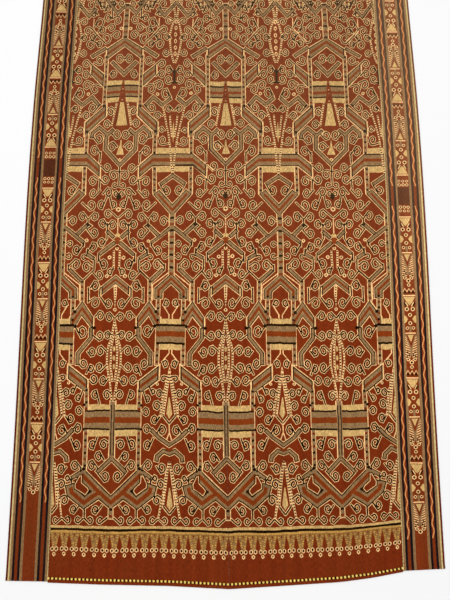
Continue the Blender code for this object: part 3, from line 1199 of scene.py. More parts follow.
@dataclass(frozen=True)
class Lie:
    """How the spread-out cloth lies: the same pull and swells as its solids have, in metres."""

    length: float = 2.300
    panel_width: float = 0.485
    strip_width: float = 0.115
    bow_widen: float = 0.0180
    bow_half_length: float = 0.55
    end_narrow: float = 0.0025
    far_narrow: float = 0.0117
    far_narrow_from: float = 0.25
    far_narrow_to: float = 0.75
    seam_drift: float = 0.009
    seam_drift_from: float = 0.55
    lift_fade: float = 0.24
    lift_x: tuple[float, ...] = (-0.600, -0.485, -0.340, -0.160, 0.0, 0.160, 0.310, 0.400, 0.485, 0.600)
    near_lift: tuple[float, ...] = (
        0.0185, 0.0165, 0.0115, 0.0080, 0.0, 0.0090, 0.0180, 0.0290, 0.0440, 0.0495,
    )
    far_lift: tuple[float, ...] = (
        0.0090, 0.0075, 0.0060, 0.0035, 0.0, 0.0025, 0.0055, 0.0080, 0.0105, 0.0120,
    )
    swells: tuple[Swell, ...] = (
        Swell(0.020, -0.060, 0.110, 0.420, 4.0, 0.0042),
        Swell(-0.300, -0.560, 0.120, 0.300, -12.0, 0.0030),
        Swell(0.330, -0.700, 0.130, 0.260, 16.0, 0.0038),
        Swell(-0.520, -0.180, 0.075, 0.240, 3.0, 0.0034),
        Swell(0.545, -0.330, 0.070, 0.260, -4.0, 0.0036),
        Swell(0.250, 0.420, 0.150, 0.280, -18.0, 0.0034),
        Swell(-0.270, 0.330, 0.140, 0.260, 14.0, 0.0030),
        Swell(0.070, 0.820, 0.130, 0.240, -6.0, 0.0036),
        Swell(-0.430, 0.860, 0.120, 0.190, 20.0, 0.0028),
        Swell(0.505, -1.010, 0.080, 0.110, 10.0, 0.0030),
        Swell(-0.150, -0.985, 0.150, 0.090, 5.0, 0.0022),
    )

    def place(self, x: np.ndarray, y: np.ndarray, rise: np.ndarray | float) -> np.ndarray:
        """Lays places of the straight cloth where they really lie.

        Args:
            x: Places across, from the centre seam.
            y: Places along, from mid-length.
            rise: Height above the underside of the cloth.

        Returns:
            A row of three coordinates for each place.
        """
        half = self.length / 2
        near = np.interp(x, self.lift_x, self.near_lift) * np.exp(-(y + half) / self.lift_fade)
        far = np.interp(x, self.lift_x, self.far_lift) * np.exp(-(half - y) / self.lift_fade)
        widen = self.bow_widen / 2 * np.exp(-((y / self.bow_half_length) ** 2)) - self.end_narrow / 2
        widen -= self.far_narrow / 2 * ease(y, self.far_narrow_from, self.far_narrow_to)
        drift = self.seam_drift * ease(-y, self.seam_drift_from, half)
        drift *= np.maximum(0.0, 1.0 - abs(x) / self.panel_width)
        stretch = 1.0 + widen / (self.panel_width + self.strip_width)
        height = sum(swell.height(x, y) for swell in self.swells) + rise
        return np.stack([x * stretch + drift, y + near - far, height], axis=1)


@dataclass(frozen=True)
class Unevenness:
    """How far hand tying and weaving let the pattern stray, in metres.

    Args:
        seed: Seed of the noise.
        sway: How far broad patches of the pattern stray, and the size of those patches.
        drift: How far small patches stray, and their size.
        bundle: How far each tied bundle of warp slips along, and its width and length.
        calm_edge: Distance from the cloth's edges within which the stray dies away.
    """

    seed: int = 7
    sway: float = 0.0030
    sway_pitch: float = 0.110
    drift: float = 0.0012
    drift_pitch: float = 0.026
    bundle: float = 0.0009
    bundle_width: float = 0.0050
    bundle_length: float = 0.070
    calm_edge: float = 0.018

    # The noise starts outside the cloth's corner. Yarn strays less across than along.
    CORNER = (0.65, 1.25)
    CELLS = (260, 130)
    SWAY_ACROSS = 0.6
    DRIFT_ACROSS = 0.7

    def noise(self, layer: int, x: np.ndarray, y: np.ndarray, wide: float, long: float) -> np.ndarray:
        """Reads one layer of smooth seeded noise.

        Args:
            layer: Which layer.
            x: Places across.
            y: Places along.
            wide: Size of its patches across.
            long: Size of its patches along.

        Returns:
            Values from about -1 to 1.
        """
        grid = np.random.default_rng((self.seed, layer)).uniform(-1, 1, self.CELLS)
        across, ahead = (x + self.CORNER[0]) / wide, (y + self.CORNER[1]) / long
        i, j = across.astype(int), ahead.astype(int)
        u, v = across - i, ahead - j
        u, v = u * u * (3 - 2 * u), v * v * (3 - 2 * v)
        near = grid[i, j] * (1 - u) + grid[i + 1, j] * u
        far = grid[i, j + 1] * (1 - u) + grid[i + 1, j + 1] * u
        return near * (1 - v) + far * v

    def stray(self, x: np.ndarray, y: np.ndarray, rim: np.ndarray) -> np.ndarray:
        """Works out how far each place strays.

        Args:
            x: Places across.
            y: Places along.
            rim: Distance from the nearest edge of the cloth.

        Returns:
            How far each strays across and along, one row each.
        """
        calm = ease(rim, 0.0, self.calm_edge)
        sway, drift = (self.sway_pitch, self.sway_pitch), (self.drift_pitch, self.drift_pitch)
        across = self.sway * self.SWAY_ACROSS * self.noise(1, x, y, *sway)
        across += self.drift * self.DRIFT_ACROSS * self.noise(2, x, y, *drift)
        ahead = self.sway * self.noise(3, x, y, *sway) + self.drift * self.noise(4, x, y, *drift)
        ahead += self.bundle * self.noise(5, x, y, self.bundle_width, self.bundle_length)
        return np.stack([across * calm, ahead * calm], axis=1)


def linked(name: str, data: bpy.types.ID) -> bpy.types.Object:
    """Adds an object to the scene, at the origin.

    Args:
        name: Its name.
        data: Its mesh, lamp or camera.

    Returns:
        The object.
    """
    made = bpy.data.objects.new(name, data)
    bpy.context.scene.collection.objects.link(made)
    return made


@dataclass
class WovenPiece:
    """One woven piece: a closed sheet with the painted chart on both faces.

    Args:
        name: Its name.
        node: The solid that it stands for.
        slot: The record's material slot. Not used.
        face: The painted upper face, in chart millimetres.
        back: The painted underside.
        copies: Where each copy of the chart starts across, and which way it runs, in metres.
        scale: Metres across for each millimetre of the chart.
        near: Where the near end lies along.
        edge_dye: The dye that shows on the cut edge.
        hem: Distance from the end, and thickness there, in metres.
        flat: The size it was woven to. Not used.
    """

    name: str
    node: str
    slot: str
    face: Painted
    back: Painted
    copies: tuple[tuple[float, int], ...]
    scale: float
    near: float
    edge_dye: Dye
    hem: tuple[tuple[float, float], ...]
    flat: tuple[float, float]

    # Places this near each other, in metres, are one
    NEAR = 1e-6
    # How often the stray is eased where a triangle turns over, and to what share of it
    ROUNDS = 8
    EASED = 0.4
    CREASE = math.radians(50)

    def copied(self, painted: Painted) -> tuple[np.ndarray, np.ndarray, list[Dye]]:
        """Repeats a painted chart side by side, mirrored in turn, and welds the copies.

        Args:
            painted: The chart.

        Returns:
            Places in the straight layout in metres, triangles, and the dye of each.
        """
        places, triangles, dyes = [], [], []
        for start, way in self.copies:
            x = start + way * painted.points[:, 0] * self.scale
            y = self.near + painted.points[:, 1] * MM
            turned = painted.triangles if way > 0 else painted.triangles[:, ::-1]
            triangles.append(turned + sum(len(p) for p in places))
            places.append(np.stack([x, y], axis=1))
            dyes += painted.dyes
        joined = np.vstack(places)
        rounded = np.round(joined / self.NEAR)
        _, first, number = np.unique(rounded, axis=0, return_index=True, return_inverse=True)
        welded = number.reshape(-1)[np.vstack(triangles)]
        a, b, c = welded.T
        whole = (a != b) & (b != c) & (c != a)
        return joined[first], welded[whole], [dye for dye, good in zip(dyes, whole) if good]

    def rim(self, top: np.ndarray, bottom: np.ndarray) -> list[tuple[int, int, int]]:
        """Joins the edges of both faces all round.

        Args:
            top: Places of the upper face.
            bottom: Places of the underside, numbered on from those of the upper face.

        Returns:
            The triangles of the cut edge.
        """
        low, high = top.min(axis=0), top.max(axis=0)
        faces = []
        for axis, level, sign in ((1, low[1], 1), (0, high[0], 1), (1, high[1], -1), (0, low[0], -1)):
            lines = []
            for points, first in ((top, 0), (bottom, len(top))):
                near = np.flatnonzero(abs(points[:, axis] - level) < self.NEAR)
                near = near[np.argsort(sign * points[near, 1 - axis])]
                lines.append([(float(sign * points[i, 1 - axis]), int(i + first)) for i in near])
            over, under = lines
            i = j = 0
            while i < len(over) - 1 or j < len(under) - 1:
                if j == len(under) - 1 or (i < len(over) - 1 and over[i + 1][0] <= under[j + 1][0]):
                    faces.append((under[j][1], over[i + 1][1], over[i][1]))
                    i += 1
                else:
                    faces.append((under[j][1], under[j + 1][1], over[i][1]))
                    j += 1
        return faces

    def thickness(self, y: np.ndarray) -> np.ndarray:
        """Returns how thick the cloth is at each place along."""
        from_end = np.minimum(y - self.near, -self.near - y)
        return np.interp(from_end, [d for d, _ in self.hem], [t for _, t in self.hem])

    def strayed(self, places: np.ndarray, faces: np.ndarray, uneven: Unevenness) -> np.ndarray:
        """Moves the pattern as hand work does, and never so far that a triangle turns over.

        Args:
            places: Places in the straight layout.
            faces: Triangles between them.
            uneven: How far they stray.

        Returns:
            The places once they have strayed.
        """
        x, y = places[:, 0], places[:, 1]
        hem = self.hem[-1][0]
        sides_gap = np.minimum(x - x.min(), x.max() - x)
        ends_gap = np.minimum(y - y.min() - hem, y.max() - y - hem)
        stray = uneven.stray(x, y, np.maximum(np.minimum(sides_gap, ends_gap), 0.0))
        for _ in range(self.ROUNDS):
            a, b, c = (places + stray)[faces.T]
            turned = (b - a)[:, 0] * (c - a)[:, 1] < (b - a)[:, 1] * (c - a)[:, 0]
            stray[np.unique(faces[turned])] *= self.EASED
        return places + stray

    def build(self, lie: Lie, uneven: Unevenness, finish: Material) -> bpy.types.Object:
        """Builds the piece.

        Args:
            lie: How it lies.
            uneven: How its pattern strays.
            finish: Its material.

        Returns:
            The finished object.
        """
        top, top_faces, top_dyes = self.copied(self.face)
        low, low_faces, low_dyes = self.copied(self.back)
        rim = self.rim(top, low)
        over, under = self.strayed(top, top_faces, uneven), self.strayed(low, low_faces, uneven)
        points = np.vstack([lie.place(*over.T, self.thickness(top[:, 1])), lie.place(*under.T, 0.0)])
        faces = np.vstack([top_faces, low_faces[:, ::-1] + len(top), np.array(rim)])
        dyes = top_dyes + low_dyes + [self.edge_dye] * len(rim)
        mesh = bpy.data.meshes.new(self.name)
        mesh.from_pydata(points.tolist(), [], faces.tolist())
        loops = faces.reshape(-1)
        colours = {dye: linear(dye.value) for dye in Dye}
        dyed = mesh.color_attributes.new("dye", "FLOAT_COLOR", "CORNER")
        dyed.data.foreach_set("color", np.repeat([colours[d] for d in dyes], 3, axis=0).reshape(-1))
        layout = mesh.uv_layers.new(name="layout")
        layout.uv.foreach_set("vector", np.vstack([top, low])[loops].reshape(-1))
        mesh.shade_smooth()
        mesh.set_sharp_from_angle(angle=self.CREASE)
        mesh.materials.append(finish)
        piece = linked(self.name, mesh)
        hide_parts(self.node)
        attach(piece, "root")
        edges = np.sort(np.vstack([faces[:, [0, 1]], faces[:, [1, 2]], faces[:, [2, 0]]]), axis=1)
        uses = np.unique(edges, axis=0, return_counts=True)[1]
        log.info("%s: %d triangles, %d open edges", self.name, len(faces), int((uses != 2).sum()))
        return piece


def node(
    tree: bpy.types.NodeTree, kind: str, inputs: dict[str | int, object] | None = None, **settings: object
) -> bpy.types.Node:
    """Adds a node.

    Args:
        tree: Where it goes.
        kind: Its Blender type.
        inputs: For each input, by name or number, a value, a socket, or a node whose first output it takes.
        settings: Its own properties.

    Returns:
        The node.
    """
    made = tree.nodes.new(kind)
    for name, value in settings.items():
        setattr(made, name, value)
    for key, value in (inputs or {}).items():
        source = value.outputs[0] if isinstance(value, bpy.types.Node) else value
        if isinstance(source, bpy.types.NodeSocket):
            tree.links.new(source, made.inputs[key])
        else:
            made.inputs[key].default_value = source
    return made


def started(name: str, looks: dict[str, object]) -> tuple[Material, bpy.types.Node]:
    """Starts a material.

    Args:
        name: Its name.
        looks: Values for the shader's own sockets.

    Returns:
        The material and its shader.
    """
    material = bpy.data.materials.new(name)
    material.use_nodes = True
    shader = material.node_tree.nodes["Principled BSDF"]
    for socket, value in looks.items():
        shader.inputs[socket].default_value = value
    return material, shader


@dataclass(frozen=True)
class WarpIkatCotton:
    """Hand-spun cotton, tied and dyed before weaving, in a dense warp-faced plain weave.

    The eye sees lengthwise ribs of single warp threads, streaks where a dip took unevenly,
    colours that bled into each other where the ties were, and a dull, slightly fuzzy surface.

    Args:
        name: Name of the material.
        bled: The colour that the bleeding and the dust of age pull every dye towards.
        bleed: How much the bleeding does so at most.
        clouded: How much the dust does.
        streak: How much lighter and darker the warp streaks are.
        dipped: How much the broad streaks of uneven dips are.
        aged: The dusty tone that the far half has faded towards.
        fade: How much it has.
        lighter_middle: How much lighter the middle is than the near end.
        dimmed: How light the far half is beside the middle.
        painted_light: How much lighter the whole piece is than its dyes, as painted light.
        mottle: How much patchier its pale and grey places are than its reds, where ties let dye in.
        patchy: How patchy the reds are.
        thread: Width of a warp thread. The real one is 0.5 mm, drawn coarser so that it shows.
        pick: Distance between weft picks. The real one is 0.9 mm, drawn coarser so that it shows.
        relief: Depth of the weave.
    """

    name: str
    bled: str = "#7C4A1C"
    bleed: float = 0.09
    clouded: float = 0.07
    streak: float = 0.22
    dipped: float = 0.12
    aged: str = "#A5845F"
    fade: float = 0.10
    lighter_middle: float = 1.15
    dimmed: float = 0.90
    painted_light: float = 1.0
    mottle: float = 2.3
    patchy: float = 0.16
    thread: float = 0.0011
    pick: float = 0.0021
    relief: float = 0.00025

    LOOKS = {"Roughness": 0.94, "Sheen Weight": 0.006, "Sheen Roughness": 0.6, "Specular IOR Level": 0.02}
    # Size of each noise's patches, across and along, in metres
    GRAIN = {
        "specks": (0.0022, 0.0050),
        "clouds": (0.10, 0.16),
        "streaks": (0.0013, 0.012),
        "threads": (0.0026, 0.009),
        "dips": (0.018, 0.35),
    }

    def made(self) -> Material:
        """Builds the material.

        Returns:
            The material.
        """
        material, shader = started(self.name, self.LOOKS)
        add = partial(node, material.node_tree)
        place = add("ShaderNodeUVMap", uv_map="layout")
        dyed = add("ShaderNodeAttribute", attribute_name="dye")
        across, along, _ = add("ShaderNodeSeparateXYZ", {0: place}).outputs
        noise = {}
        for name, (wide, long) in self.GRAIN.items():
            patches = add("ShaderNodeMapping", {"Vector": place, "Scale": (1 / wide, 1 / long, 1.0)})
            noise[name] = add("ShaderNodeTexNoise", {"Vector": patches, "Scale": 1.0, "Detail": 2.0})
        pure = add("ShaderNodeSeparateColor", {0: dyed}, mode="HSV").outputs[1]
        # Each effect: what it follows, between which two values of that, and how strong it is there
        effects = {
            "bled": (noise["specks"], 0.42, 0.68, 0.0, self.bleed),
            "clouded": (noise["clouds"], 0.38, 0.66, 0.0, self.clouded),
            "faded": (along, -0.45, 0.35, 0.0, self.fade),
            "streaked": (noise["streaks"], 0.3, 0.7, 1 - self.streak, 1 + self.streak),
            "dipped": (noise["dips"], 0.3, 0.7, 1 - self.dipped, 1 + self.dipped),
            # Lighter in the middle than at the near end, and lighter all over by the painted light factor,
            # which is painted light
            "lighter_middle": (along, -0.95, -0.40, self.painted_light, self.painted_light * self.lighter_middle),
            "dimmed": (along, -0.05, 0.45, 1.0, self.dimmed),
            "mottled": (pure, 0.80, 0.95, self.mottle, 1.0),
            "patchy": (noise["threads"], 0.3, 0.7, -self.patchy, self.patchy),
        }
        held = {name: add("ShaderNodeMapRange", dict(enumerate(row))) for name, row in effects.items()}
        dust = add("ShaderNodeMath", {0: held["bled"], 1: held["clouded"]}, operation="ADD")
        colour = dyed
        for share, tone in ((dust, self.bled), (held["faded"], self.aged)):
            mixed = {0: share, 6: colour, 7: linear(tone)}
            colour = add("ShaderNodeMix", mixed, data_type="RGBA").outputs[2]
        patches = {0: held["patchy"], 1: held["mottled"], 2: 1.0}
        held["patchy"] = add("ShaderNodeMath", patches, operation="MULTIPLY_ADD")
        light = held["streaked"]
        for name in ("dipped", "lighter_middle", "dimmed", "patchy"):
            light = add("ShaderNodeMath", {0: light, 1: held[name]}, operation="MULTIPLY")
        colour = add("ShaderNodeVectorMath", {0: colour, "Scale": light}, operation="SCALE")
        ripples = []
        for value, pitch in ((across, self.thread), (along, self.pick)):
            turns = add("ShaderNodeMath", {0: value, 1: 2 * math.pi / pitch}, operation="MULTIPLY")
            ripples.append(add("ShaderNodeMath", {0: turns}, operation="SINE"))
        height = add("ShaderNodeMath", dict(enumerate(ripples)), operation="ADD")
        height = add("ShaderNodeMath", {0: height, 1: noise["streaks"]}, operation="ADD")
        bump = add("ShaderNodeBump", {"Strength": 0.35, "Distance": self.relief, "Height": height})
        for socket, source in (("Base Color", colour), ("Normal", bump)):
            material.node_tree.links.new(source.outputs[0], shader.inputs[socket])
        return material


@dataclass(frozen=True)
class PliedYarn:
    """Plied cotton yarn of one colour, which shows its twist as fine slanting lines.

    Args:
        name: Name of the material.
        colour: Its colour.
        ply: Distance between the lines of the twist.
        slant: Turn of those lines, in degrees.
        patch: Size of its lighter and darker places.
        relief: Depth of the twist.
    """

    name: str
    colour: str
    ply: float = 0.0012
    slant: float = 35.0
    patch: float = 0.006
    relief: float = 0.0003

    LOOKS = {"Roughness": 0.82, "Sheen Weight": 0.01, "Specular IOR Level": 0.10}

    def made(self) -> Material:
        """Builds the material.

        Returns:
            The material.
        """
        material, shader = started(self.name, self.LOOKS)
        add = partial(node, material.node_tree)
        place = add("ShaderNodeTexCoord").outputs["Object"]
        turned = {"Rotation": (0.0, 0.0, math.radians(self.slant)), "Scale": (1 / self.ply,) * 3}
        turned = add("ShaderNodeMapping", {"Vector": place, **turned})
        twist = add("ShaderNodeTexWave", {"Vector": turned, "Scale": 1.0, "Distortion": 0.6}).outputs["Fac"]
        lively = add("ShaderNodeTexNoise", {"Vector": place, "Scale": 1 / self.patch})
        light = add("ShaderNodeMapRange", {0: lively, 1: 0.3, 2: 0.7, 3: 0.8, 4: 1.2})
        shade = add("ShaderNodeMapRange", {0: twist, 1: 0.0, 2: 1.0, 3: 0.82, 4: 1.0})
        light = add("ShaderNodeMath", {0: light, 1: shade}, operation="MULTIPLY")
        dyed = {0: linear(self.colour)[:3], "Scale": light}
        colour = add("ShaderNodeVectorMath", dyed, operation="SCALE")
        bump = add("ShaderNodeBump", {"Strength": 0.5, "Distance": self.relief, "Height": twist})
        for socket, source in (("Base Color", colour), ("Normal", bump)):
            material.node_tree.links.new(source.outputs[0], shader.inputs[socket])
        return material


@dataclass(frozen=True)
class StitchRow:
    """A row of short stitches or twined turns along a path, made with Geometry Nodes.

    Args:
        name: Its name.
        pitch: Distance from one to the next.
        size: Length, width and height of one.
        slant: Turn of each from the path, in degrees.
        light: Material of the first, third and so on.
        dark: Material of the second, fourth and so on.
        seed: Seed of their small differences.
    """

    name: str
    pitch: float
    size: tuple[float, float, float]
    slant: float
    light: Material
    dark: Material
    seed: int = 3

    INPUTS = {"Path": "Geometry", "Pitch": "Float", "Size": "Vector", "Slant": "Float", "Seed": "Int"}
    BALL = {"Segments": 8, "Rings": 5, "Radius": 0.5}
    LEAST = (0.88, 0.85, 0.9)
    MOST = (1.08, 1.12, 1.1)

    def tree(self) -> bpy.types.NodeTree:
        """Builds the tree.

        Returns:
            A Geometry Nodes tree with named inputs.
        """
        tree = bpy.data.node_groups.new(self.name, "GeometryNodeTree")
        for name, kind in self.INPUTS.items():
            tree.interface.new_socket(name, in_out="INPUT", socket_type=f"NodeSocket{kind}")
        tree.interface.new_socket("Stitches", in_out="OUTPUT", socket_type="NodeSocketGeometry")
        add = partial(node, tree)
        given = add("NodeGroupInput").outputs
        path = add("GeometryNodeMeshToCurve", {"Mesh": given["Path"]})
        steps = add("GeometryNodeResampleCurve", {"Curve": path, "Length": given["Pitch"]}, mode="LENGTH")
        ball = add("GeometryNodeSetShadeSmooth", {"Geometry": add("GeometryNodeMeshUVSphere", self.BALL)})
        stitch = add("GeometryNodeTransform", {"Geometry": ball, "Scale": given["Size"]})
        turn = add("ShaderNodeCombineXYZ", {"Z": given["Slant"]})
        stitch = add("GeometryNodeTransform", {"Geometry": stitch, "Rotation": turn})
        ahead = {"Vector": add("GeometryNodeInputTangent")}
        heading = add("FunctionNodeAlignRotationToVector", ahead, axis="X", pivot_axis="Z")
        range_of_sizes = {0: self.LEAST, 1: self.MOST, "Seed": given["Seed"]}
        vary = add("FunctionNodeRandomValue", range_of_sizes, data_type="FLOAT_VECTOR")
        number = add("GeometryNodeInputIndex")
        odd = add("ShaderNodeMath", {0: number, 1: 2.0}, operation="MODULO")
        even = add("ShaderNodeMath", {0: 1.0, 1: odd}, operation="SUBTRACT")
        joined = add("GeometryNodeJoinGeometry")
        placing = {"Points": steps, "Instance": stitch, "Rotation": heading, "Scale": vary}
        for turns, material in ((even, self.light), (odd, self.dark)):
            placed = add("GeometryNodeInstanceOnPoints", {**placing, "Selection": turns})
            real = add("GeometryNodeRealizeInstances", {"Geometry": placed})
            dressed = add("GeometryNodeSetMaterial", {"Geometry": real, "Material": material})
            tree.links.new(dressed.outputs[0], joined.inputs[0])
        add("NodeGroupOutput", {"Stitches": joined})
        return tree

    def build(self, paths: list[np.ndarray], slot: str) -> bpy.types.Object:
        """Builds the row along paths.

        Args:
            paths: Points of each path, in metres.
            slot: The record's material slot. Not used.

        Returns:
            The finished object, a plain mesh.
        """
        points, edges = [], []
        for path in paths:
            edges += [(i, i + 1) for i in range(len(points), len(points) + len(path) - 1)]
            points += path.tolist()
        mesh = bpy.data.meshes.new(self.name)
        mesh.from_pydata(points, edges, [])
        piece = linked(self.name, mesh)
        modifier = piece.modifiers.new("stitches", "NODES")
        modifier.node_group = self.tree()
        slant = math.radians(self.slant)
        values = {"Pitch": self.pitch, "Size": self.size, "Slant": slant, "Seed": self.seed}
        for item in modifier.node_group.interface.items_tree:
            if item.in_out == "INPUT" and item.name in values:
                modifier[item.identifier] = values[item.name]
        graph = bpy.context.evaluated_depsgraph_get()
        piece.data = bpy.data.meshes.new_from_object(piece.evaluated_get(graph))
        piece.modifiers.clear()
        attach(piece, "root")
        log.info("%s: %d triangles", self.name, sum(len(f.vertices) - 2 for f in piece.data.polygons))
        return piece


# The hems of a panel and of a strip: distance from the end and thickness there, in metres.
# Inside a panel's hem the twined weft stands a little proud.
PANEL_HEM = (
    (0.0, 0.0015), (0.0012, 0.0021), (0.009, 0.0021), (0.010, 0.0018), (0.014, 0.0018), (0.015, 0.0012),
)
STRIP_HEM = ((0.0, 0.0015), (0.0012, 0.0021), (0.009, 0.0021), (0.010, 0.0012))


@dataclass(frozen=True)
class Blanket:
    """The whole blanket: two panels, two strips, twined wefts and stitches, in metres.

    Args:
        lie: How it lies.
        uneven: How the pattern of the panels strays.
        strip_uneven: How that of the strips does.
        gap: Distance between two pieces at a seam.
        repeats: Half repeats across a panel.
        chart_repeat: Width of the chart of a half repeat, in millimetres.
        chart_strip: Width of the chart of a strip, in millimetres.
        strip_short: How far a strip stops short of the panels' ends.
        blocks: Where the dark block of the left and of the right strip is, in chart millimetres.
        units: Length of a motif of the left and of the right strip, in millimetres.
    """

    lie: Lie = Lie()
    uneven: Unevenness = Unevenness()
    strip_uneven: Unevenness = Unevenness(8, sway=0.0010, drift=0.0004, bundle=0.0004)
    gap: float = 0.0003
    repeats: int = 3
    chart_repeat: float = 162.0
    chart_strip: float = 115.0
    strip_short: float = 0.003
    blocks: tuple[float, float] = (1211.0, 1119.0)
    units: tuple[float, float] = (236.0, 245.0)

    # Level runs of stitches: where each starts and ends across, and its distance from the cloth's end
    TWINED = ((-0.4835, -0.0030, 0.012), (0.0030, 0.4835, 0.012))
    HEMMED = (
        (-0.597, -0.489, 0.0108), (-0.481, -0.004, 0.0076), (0.004, 0.481, 0.0076), (0.489, 0.597, 0.0108),
    )
    TWINED_RISE = 0.0019
    # Seams: place across, and how far short of the cloth's ends the stitches stop; the height of the
    # stitches on the hem and on the plain cloth
    SEAMS = ((0.0, 0.004), (-0.485, 0.006), (0.485, 0.006))
    SEAM_RISE = (0.0019, 0.0012)
    HEM_DEPTH = 0.010
    # Points of each path of the twined weft, the hem stitches and the seam stitches
    TWINED_POINTS = 90
    HEMMED_POINTS = 60
    SEAM_POINTS = 300

    def cut(self, chart: Chart, hem: tuple[Point, ...]) -> Painted:
        """Cuts a chart, also where its hem changes the cloth's thickness."""
        return Cutter(chart, tuple(distance / MM for distance, _ in hem[1:])).cut()

    def panels(self, finish: Material) -> None:
        """Builds the two patterned panels.

        Args:
            finish: Their material.
        """
        lie = self.lie
        step = (lie.panel_width - self.gap) / self.repeats
        chart = PanelDesign(self.chart_repeat, lie.length / MM).drawn()
        faces = self.cut(chart, PANEL_HEM), self.cut(chart.plainer(), PANEL_HEM)
        for side, sign in (("left", -1), ("right", 1)):
            copies = []
            for k in range(self.repeats):
                start = self.gap / 2 + (k + k % 2) * step
                copies.append((sign * start, -sign if k % 2 else sign))
            piece = WovenPiece(
                f"panel_{side}_cloth", f"panel_{side}", "panel_cotton", *faces, tuple(copies),
                step / self.chart_repeat, -lie.length / 2, Dye.RED, PANEL_HEM, (lie.panel_width, lie.length),
            )
            piece.build(lie, self.uneven, finish)

    def strips(self, finishes: tuple[Material, Material]) -> None:
        """Builds the two striped strips.

        Args:
            finishes: The material of the left one and of the right one.
        """
        lie = self.lie
        outer = lie.panel_width + lie.strip_width
        scale = (lie.strip_width - self.gap / 2) / self.chart_strip
        length = lie.length - 2 * self.strip_short
        places = zip(("left", "right"), (-1, 1), self.blocks, self.units, finishes)
        for side, sign, block, unit, finish in places:
            chart = StripDesign(self.chart_strip, length / MM, block, unit=unit).drawn()
            cut = self.cut(chart, STRIP_HEM)
            piece = WovenPiece(
                f"strip_{side}_cloth", f"strip_{side}", "strip_cotton", cut, cut, ((sign * outer, -sign),),
                scale, -length / 2, Dye.MAROON, STRIP_HEM, (lie.strip_width, length),
            )
            piece.build(lie, self.strip_uneven, finish)

    def level(
        self, runs: tuple[tuple[float, float, float], ...], count: int, rise: float
    ) -> list[np.ndarray]:
        """Lays level paths near both ends of the cloth.

        Args:
            runs: Where each path starts and ends across, and its distance from the cloth's end.
            count: How many points each has.
            rise: Height of the paths above the underside.

        Returns:
            The paths, those of the near end first.
        """
        paths = []
        for end in (-1, 1):
            for low, high, inset in runs:
                x = np.linspace(low, high, count)
                y = np.full_like(x, end * (self.lie.length / 2 - inset))
                paths.append(self.lie.place(x, y, rise))
        return paths

    def twining(self, light: Material, dark: Material) -> None:
        """Builds the twined weft inside each end hem, of a light and a dark yarn in turn."""
        row = StitchRow(
            "twined_weft", pitch=0.0053, size=(0.0055, 0.0070, 0.0017), slant=8.0, light=light, dark=dark
        )
        row.build(self.level(self.TWINED, self.TWINED_POINTS, self.TWINED_RISE), "panel_cotton")

    def hems(self, thread: Material) -> None:
        """Builds the running stitches that hold the end hems down."""
        row = StitchRow(
            "hem_stitches", pitch=0.0090, size=(0.0042, 0.0009, 0.0008), slant=0.0, light=thread,
            dark=thread, seed=9,
        )
        row.build(self.level(self.HEMMED, self.HEMMED_POINTS, PANEL_HEM[1][1]), "panel_cotton")

    def seams(self, thread: Material) -> None:
        """Builds the stitches of the centre seam and of the two strip seams.

        Args:
            thread: Their material.
        """
        row = StitchRow(
            "seam_stitches", pitch=0.0085, size=(0.0018, 0.0036, 0.0008), slant=24.0, light=thread,
            dark=thread, seed=5,
        )
        half = self.lie.length / 2
        paths = []
        for x, short in self.SEAMS:
            y = np.linspace(short - half, half - short, self.SEAM_POINTS)
            rise = np.where(abs(y) > half - self.HEM_DEPTH, *self.SEAM_RISE)
            paths.append(self.lie.place(np.full_like(y, x), y, rise))
        row.build(paths, "panel_cotton")


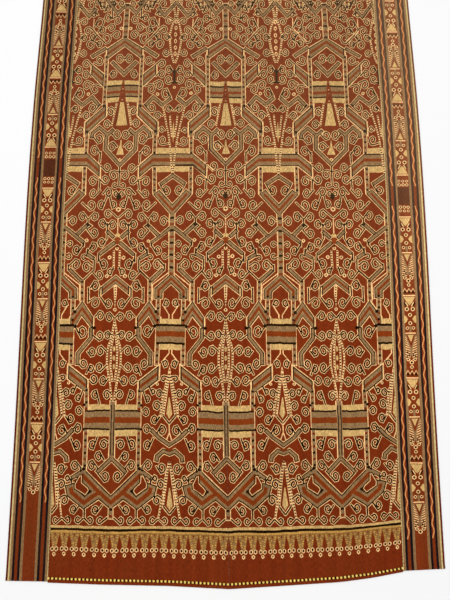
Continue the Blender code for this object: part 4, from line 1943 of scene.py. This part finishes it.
@dataclass(frozen=True)
class Studio:
    """A plain pale floor, soft light and the photograph's viewpoint, in metres and degrees."""

    floor_size: float = 9.0
    floor_drop: float = 0.0004
    floor_colour: str = "#F7F7F7"
    sky: float = 0.73
    lamp_power: float = 85.0
    lamp_size: float = 5.0
    lamp_place: tuple[float, float, float] = (-0.4, 0.5, 4.2)
    eye: tuple[float, float, float] = (-0.002, -0.6705, 1.7153)
    tilt: float = 10.52
    lens: float = 35.34
    sensor: float = 36.0

    def floor(self) -> None:
        """Lays the floor."""
        half = self.floor_size / 2
        corners = [(x * half, y * half, -self.floor_drop) for x, y in ((-1, -1), (1, -1), (1, 1), (-1, 1))]
        mesh = bpy.data.meshes.new("floor")
        mesh.from_pydata(corners, [], [(0, 1, 2, 3)])
        looks = {"Base Color": linear(self.floor_colour), "Roughness": 1.0, "Specular IOR Level": 0.0}
        mesh.materials.append(started("matt_white_paper", looks)[0])
        linked("floor", mesh)

    def light(self) -> None:
        """Lights the scene evenly, with one large soft lamp up and to the left."""
        world = bpy.data.worlds.new("studio")
        world.use_nodes = True
        sky = world.node_tree.nodes["Background"].inputs
        sky["Color"].default_value = (1.0, 1.0, 1.0, 1.0)
        sky["Strength"].default_value = self.sky
        bpy.context.scene.world = world
        lamp = bpy.data.lights.new("soft_lamp", "AREA")
        lamp.energy = self.lamp_power
        lamp.size = self.lamp_size
        holder = linked("soft_lamp", lamp)
        holder.location = self.lamp_place
        holder.rotation_euler = (-holder.location).to_track_quat("-Z", "Y").to_euler()
        bpy.context.scene.view_settings.view_transform = "Standard"

    def camera(self) -> None:
        """Stands the camera where the photograph was taken from."""
        camera = bpy.data.cameras.new("camera")
        camera.lens = self.lens
        camera.sensor_width = self.sensor
        holder = linked("camera", camera)
        holder.location = self.eye
        holder.rotation_euler = (math.radians(self.tilt), 0.0, 0.0)
        bpy.context.scene.camera = holder


def main() -> None:
    """Builds the blanket, then the studio."""
    logging.basicConfig(level=logging.INFO, format="%(name)s: %(message)s")
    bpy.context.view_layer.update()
    blanket = Blanket()
    blanket.panels(WarpIkatCotton("warp_ikat_cotton").made())
    # The right strip is painted lighter than the left, all over and more in its middle: painted light, as
    # more light falls on that side
    shaded = WarpIkatCotton("striped_warp_cotton", fade=0.04, lighter_middle=1.05, mottle=1.2)
    painted_lit_strip = WarpIkatCotton("faded_and_painted_lit_striped_warp_cotton", fade=0.20, lighter_middle=1.24, painted_light=1.11, mottle=1.2)
    blanket.strips((shaded.made(), painted_lit_strip.made()))
    undyed, black = PliedYarn("undyed_cotton_weft", "#FFE27A"), PliedYarn("indigo_black_weft", "#150C05")
    blanket.twining(undyed.made(), black.made())
    blanket.seams(PliedYarn("seam_thread", "#5A3820").made())
    blanket.hems(PliedYarn("hem_thread", "#6B2712").made())
    studio = Studio()
    studio.floor()
    studio.light()
    studio.camera()
    log.info("studio: floor, light and camera")


if __name__ == "__main__":
    main()
